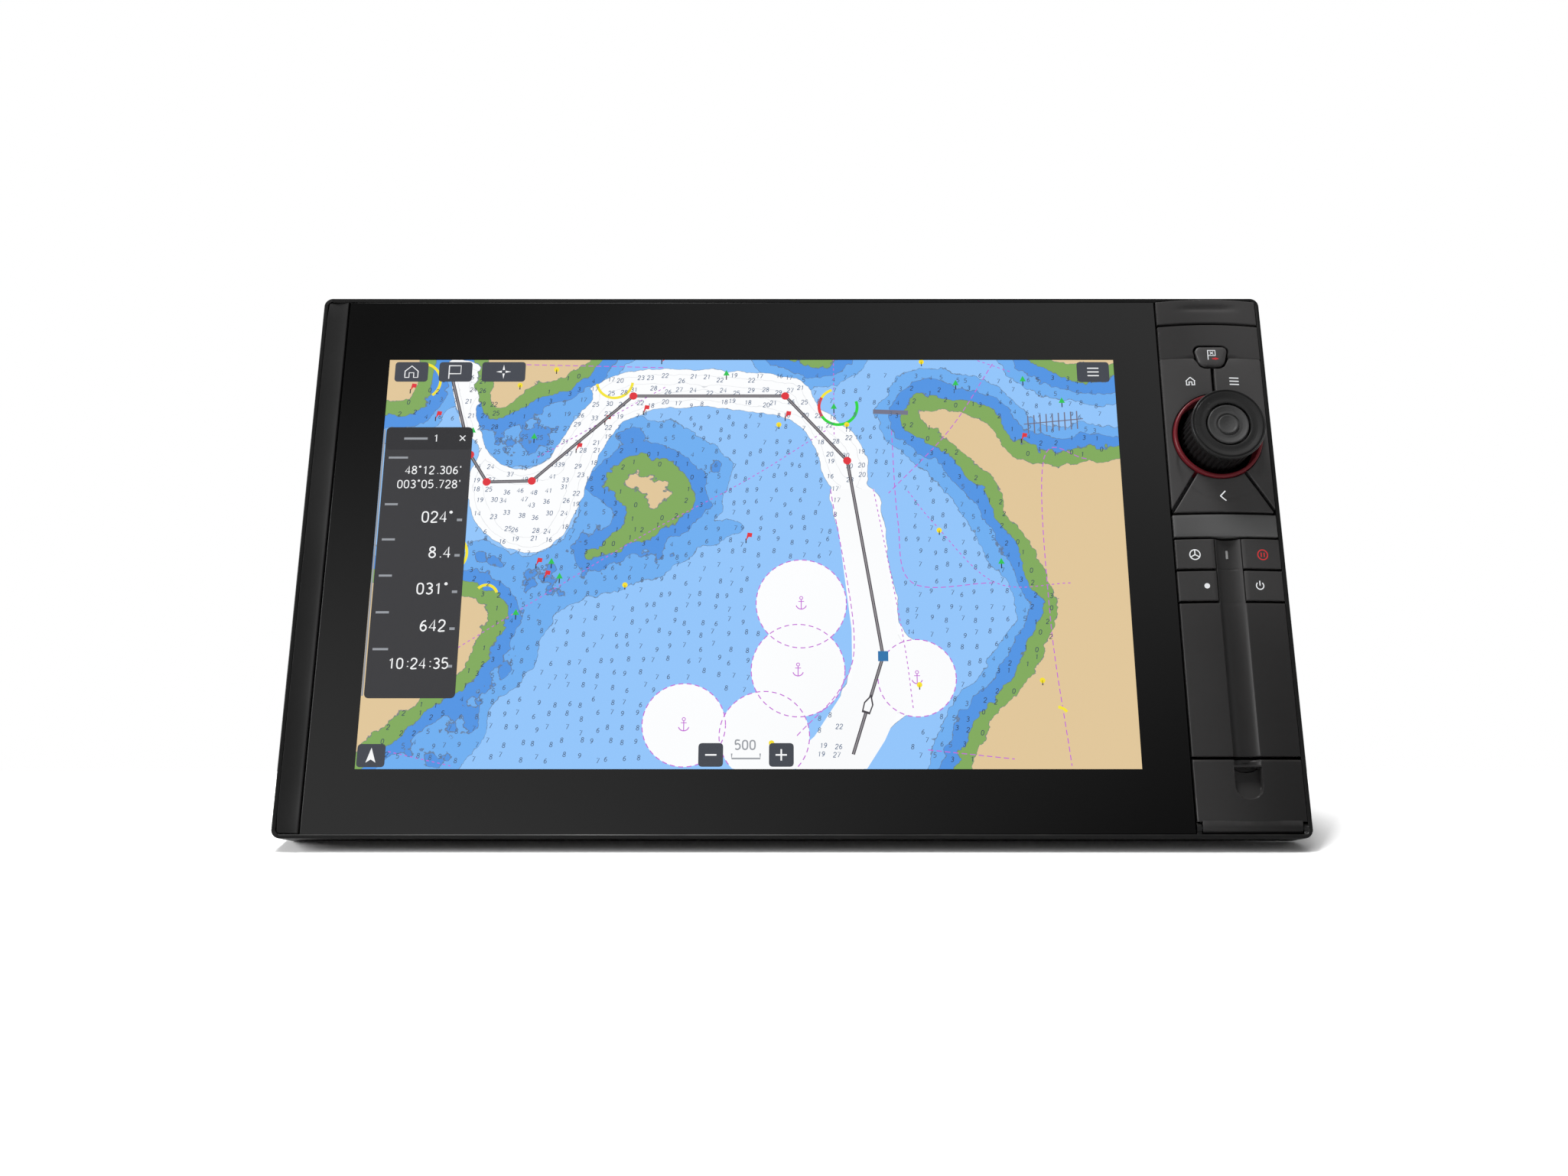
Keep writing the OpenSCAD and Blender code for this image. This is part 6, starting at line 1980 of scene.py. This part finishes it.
@dataclass(frozen=True)
class KeyPrints:
    """The printed icons on the keys, laid a hair above their crowned fronts."""

    lift: float = 0.02

    def lay(self, shell: Shell, grid: tuple[Array, Array], front: Front) -> None:
        """Adds a flat grid drawn onto a front surface, with lines close enough to follow it.

        Args:
            shell: takes the grid.
            grid: X and Z of its points.
            front: depth of the surface.
        """
        at = np.linspace(0, len(grid[0]) - 1, max(len(grid[0]), 1 + 16 * (len(grid[0]) < 12) * (len(grid[0]) - 1)))
        low = np.minimum(at.astype(int), len(grid[0]) - 2)
        share = (at - low)[:, None]
        x, z = (g[low] * (1 - share) + g[low + 1] * share for g in grid)
        shell.patch(x, front(x, z) - self.lift, z)

    def line(self, shell: Shell, points: Line, width: float, front: Front, closed: bool = False) -> None:
        """Draws a line of some width onto a front surface."""
        self.lay(shell, ribbon(points, width, closed), front)

    def disc(self, shell: Shell, x: float, z: float, r: float, front: Front) -> None:
        """Adds a filled disc drawn onto a front surface.

        Args:
            shell: takes the disc.
            x: X of its middle.
            z: Z of its middle.
            r: its radius.
            front: depth of the surface.
        """
        ring = circle(x, z, r, 28)
        both = np.stack([np.vstack([ring, ring[:1]]), np.broadcast_to((x, z), (29, 2))], 1)
        self.lay(shell, (both[..., 0], both[..., 1]), front)

    def build(self) -> None:
        """Makes each key's icon."""
        white = PictureFinish("key_print_white", tint(226, 228, 230), glow=1.0, slot="key_plastic")
        red = PictureFinish("key_print_red", tint(216, 30, 34), glow=0.8, slot="key_plastic")
        pad = KeyColumn().pad_front
        crown = COLUMN.crown

        def raised(x: Array, z: Array) -> Array:
            """The waypoint key's top."""
            return crown(x, z) - WAYPOINT.proud

        flag, dot, home, menu, back, pilot, standby, user, power = (Shell() for _ in range(9))
        self.line(pilot, circle(184.6, -0.9, 2.3, 30), 0.5, crown, closed=True)
        self.line(standby, circle(215.6, -1.0, 2.3, 30), 0.5, crown, closed=True)
        self.line(power, circle(213.0, -15.6, 1.7, 26, math.pi * 0.72, math.pi * 2.28), 0.5, crown)
        strokes = (
            (flag, raised, 0.42, [(198.1, 94.7, 198.1, 99.6)]),
            (flag, raised, 0.36, [(198.1, 99.4, 201.7, 99.4), (201.6, 99.5, 201.6, 96.7),
                    (198.1, 96.8, 201.7, 96.8)]),
            (flag, raised, 0.34, [(199.1, 98.8, 200.7, 97.4), (199.1, 97.4, 200.7, 98.8)]),
            (dot, raised, 0.6, [(200.0, 95.2, 202.9, 95.2)]),
            (home, pad, 0.45, [(187.0, 84.3, 189.2, 86.3), (189.1, 86.3, 191.3, 84.3)]),
            (back, pad, 0.55, [(201.0, 29.6, 198.5, 27.1), (198.5, 27.3, 201.0, 24.8)]),
            (standby, crown, 0.5, [(214.9, -2.0, 214.9, 0.0), (216.3, -2.0, 216.3, 0.0)]),
            (power, crown, 0.5, [(213.0, -15.6, 213.0, -13.3)]),
        )
        for shell, front, width, ends in strokes:
            for x0, z0, x1, z1 in ends:
                self.line(shell, [(x0, z0), (x1, z1)], width, front)
        self.disc(dot, 201.6, 95.2, 0.6, raised)
        self.disc(user, 188.9, -15.7, 1.25, crown)
        for x, z0, z1 in ((187.3, 82.4, 84.6), (191.0, 82.4, 84.6), (188.5, 82.4, 83.9), (189.8, 82.4, 83.9)):
            self.line(home, [(x, z0 - 0.2), (x, z1)], 0.45, pad)
        for x0, x1, z in ((187.1, 188.7, 82.4), (189.6, 191.2, 82.4), (188.3, 190.0, 83.9)):
            self.line(home, [(x0, z), (x1, z)], 0.45, pad)
        for k in (-1, 0, 1):
            self.line(menu, [(207.6, 84.2 + 1.6 * k), (212.1, 84.2 + 1.6 * k)], 0.55, pad)
        for turn in range(3):
            a = math.pi / 2 + turn * TAU / 3
            self.line(pilot, [(184.6, -0.9), (184.6 + 2.2 * math.cos(a), -0.9 + 2.2 * math.sin(a))], 0.5, crown)
        prints = (("waypoint_flag", flag, "waypoint_key", white), ("waypoint_dot", dot, "waypoint_key", red),
                ("home_icon", home, "home_key", white),
                  ("menu_icon", menu, "menu_key", white), ("back_icon", back, "back_key", white),
                  ("pilot_icon", pilot, "pilot_key", white),
                  ("standby_icon", standby, "standby_key", red), ("user_dot", user, "user_key", white),
                  ("power_icon", power, "power_key", white))
        for name, shell, body, finish in prints:
            dress(shell.mesh(name, faces_front=True), body, finish)


# ---------------------------------------------------------------- casing


@dataclass(frozen=True)
class EasedCopy:
    """A copy of a frame node with some of its sharp edges rounded."""

    node: str
    name: str
    look: Look
    width: float
    segments: int = 3
    body: str = "root"

    def build(self, chosen: Callable[[Array, Array, Array], Array]) -> Piece:
        """Merges the copy's loose triangles, joins flat faces and bevels the chosen edges.

        Args:
            chosen: takes the two ends of every edge and its fold angle, and says which are rounded.

        Returns:
            The piece.
        """
        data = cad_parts[self.node].data.copy()
        work = bmesh.new()
        work.from_mesh(data)
        bmesh.ops.remove_doubles(work, verts=work.verts, dist=2e-6)
        bmesh.ops.dissolve_limit(work, angle_limit=math.radians(0.6), verts=work.verts, edges=work.edges)
        work.edges.ensure_lookup_table()
        ends = np.array([[v.co for v in e.verts] for e in work.edges], float) / MM
        fold = np.array([e.calc_face_angle(0.0) for e in work.edges])
        mask = chosen(ends[:, 0], ends[:, 1], fold)
        edges = [work.edges[i] for i in np.flatnonzero(mask)]
        bmesh.ops.bevel(work, geom=edges, offset=self.width * MM, segments=self.segments, profile=0.5, affect="EDGES",
                clamp_overlap=False)
        bmesh.ops.triangulate(work, faces=work.faces)
        data = bpy.data.meshes.new(self.name)
        work.to_mesh(data)
        work.free()
        return dress(shown(self.name, data), self.body, self.look.value, [self.node])


@dataclass(frozen=True)
class Casing:
    """The bezel with its lip."""

    half_x: float = 226.0
    half_z: float = 128.25
    corner: float = 4.0
    face: float = -20.0

    def lip_gap(self, p: Array) -> Array:
        """How far points lie from the bezel's outer outline, a rounded rectangle.

        Args:
            p: the points.

        Returns:
            The distances.
        """
        x, z = np.abs(p[:, 0]) - (self.half_x - self.corner), np.abs(p[:, 2]) - (self.half_z - self.corner)
        far = np.hypot(np.maximum(x, 0.0), np.maximum(z, 0.0))
        return np.abs(np.where((x > 0) | (z > 0), far, 0.0) - self.corner)

    def build(self) -> None:
        """Rounds the outer edge of the bezel's lip."""
        def lip_edges(a: Array, b: Array, fold: Array) -> Array:
            """Edges in the front plane of the lip."""
            level = (np.abs(a[:, 1] - self.face) < 0.02) & (np.abs(b[:, 1] - self.face) < 0.02) & (fold > 0.6)
            return level & (self.lip_gap(a) < 0.05) & (self.lip_gap(b) < 0.05)

        EasedCopy("front_bezel", "bezel_with_lip", Look.BEZEL, 0.55, 4).build(lip_edges)


# ---------------------------------------------------------------- the set


@dataclass(frozen=True)
class Studio:
    """A white sheet behind the display's foot, soft lamps and the camera."""

    camera_at: tuple[float, float, float] = (-2.482, -614.047, -167.083)
    tilt: float = 15.757
    lens: float = 30.895
    shift: Point = (-0.00146, -0.0229)

    def build(self) -> None:
        """Makes the world, the sheet, the lamps and the camera."""
        self.world()
        self.sheet()
        self.lamp("key_lamp", (-260.0, -430.0, 980.0), 420.0, 19.0)
        self.lamp("side_lamp", (-1050.0, -260.0, 120.0), 360.0, 12.0)
        self.lamp("fill_lamp", (1150.0, -420.0, 60.0), 600.0, 0.6)
        self.lamp("rear_lamp", (300.0, 900.0, 500.0), 700.0, 5.0)
        view = bpy.data.cameras.new("camera")
        view.lens = self.lens
        view.sensor_width = 36.0
        view.shift_x, view.shift_y = self.shift
        view.clip_start = 0.01
        holder = linked("camera", view)
        holder.location = Vector(self.camera_at) * MM
        holder.rotation_euler = (math.radians(90.0 + self.tilt), 0.0, 0.0)
        bpy.context.scene.camera = holder
        bpy.context.scene.view_settings.view_transform = "Standard"

    def world(self) -> None:
        """A pale even sky: white to the eye and in reflections, and softer as light."""
        sky = bpy.data.worlds.new("studio_sky")
        bpy.context.scene.world = sky
        sky.use_nodes = True
        b = NodeBench(sky.node_tree)
        light = sky.node_tree.nodes["Background"]
        b.set(light, Color=WHITE, Strength=0.16)
        seen = b.add("ShaderNodeBackground")
        b.set(seen, Color=WHITE, Strength=1.0)
        path = b.add("ShaderNodeLightPath")
        direct = b.maths("MAXIMUM", path.outputs["Is Camera Ray"],
                b.maths("MAXIMUM", path.outputs["Is Glossy Ray"], path.outputs["Is Transmission Ray"]))
        mix = b.add("ShaderNodeMixShader")
        b.join(direct, mix.inputs[0])
        b.join(light.outputs[0], mix.inputs[1])
        b.join(seen.outputs[0], mix.inputs[2])
        b.join(mix.outputs[0], sky.node_tree.nodes["World Output"].inputs[0])

    def sheet(self) -> None:
        """The sheet: flat, tilted up into the scene under the display's foot, with a painted contact shadow in the
        glow that the camera sees.
        """
        lean = math.radians(20.0)
        x, along = np.meshgrid(np.linspace(-1500, 1500, 3), np.linspace(-1200, 130, 3), indexing="ij")
        piece = Shell().patch(x, along * math.cos(lean), -128.3 + 0.6 + along * math.sin(lean)).mesh("white_sheet",
                faces_front=True)
        made, b, shader = fresh_material("white_sheet")
        b.set(shader, Base_Color=(0.9, 0.9, 0.9, 1.0), Roughness=0.9, Emission_Color=WHITE)
        path = b.add("ShaderNodeLightPath")
        # Painted contact shadow: the sheet's glow to the camera fades where ambient occlusion finds the display close
        # by.
        near = b.add("ShaderNodeAmbientOcclusion", samples=16)
        b.set(near, Distance=0.09)
        painted_contact_shadow = b.ranged(near.outputs["AO"], 0.55, 0.97, 0.0, 0.95)
        b.join(b.maths("MULTIPLY", path.outputs["Is Camera Ray"], painted_contact_shadow), shader.inputs["Emission Strength"])
        piece.data.materials.append(made)

    def lamp(self, name: str, place: tuple[float, float, float], size: float, power: float) -> None:
        """A large square lamp that faces the display.

        Args:
            name: the lamp's name.
            place: where it hangs.
            size: the side of its square.
            power: its power in watts.
        """
        light = bpy.data.lights.new(name, "AREA")
        light.shape = "SQUARE"
        light.size = size * MM
        light.energy = power
        holder = linked(name, light)
        holder.location = Vector(place) * MM
        holder.rotation_mode = "QUATERNION"
        holder.rotation_quaternion = (-holder.location).to_track_quat("-Z", "Y")


def main() -> None:
    """Builds the display's looks in order, then the set."""
    logging.basicConfig(level=logging.INFO, format="%(name)s: %(message)s")
    dress_nodes()
    Casing().build()
    ScreenGlass().build()
    ChartPicture().build()
    KeyColumn().build()
    KeyPrints().build()
    RotaryKnob().build()
    CardDoor().build()
    Studio().build()


if __name__ == "__main__":
    main()
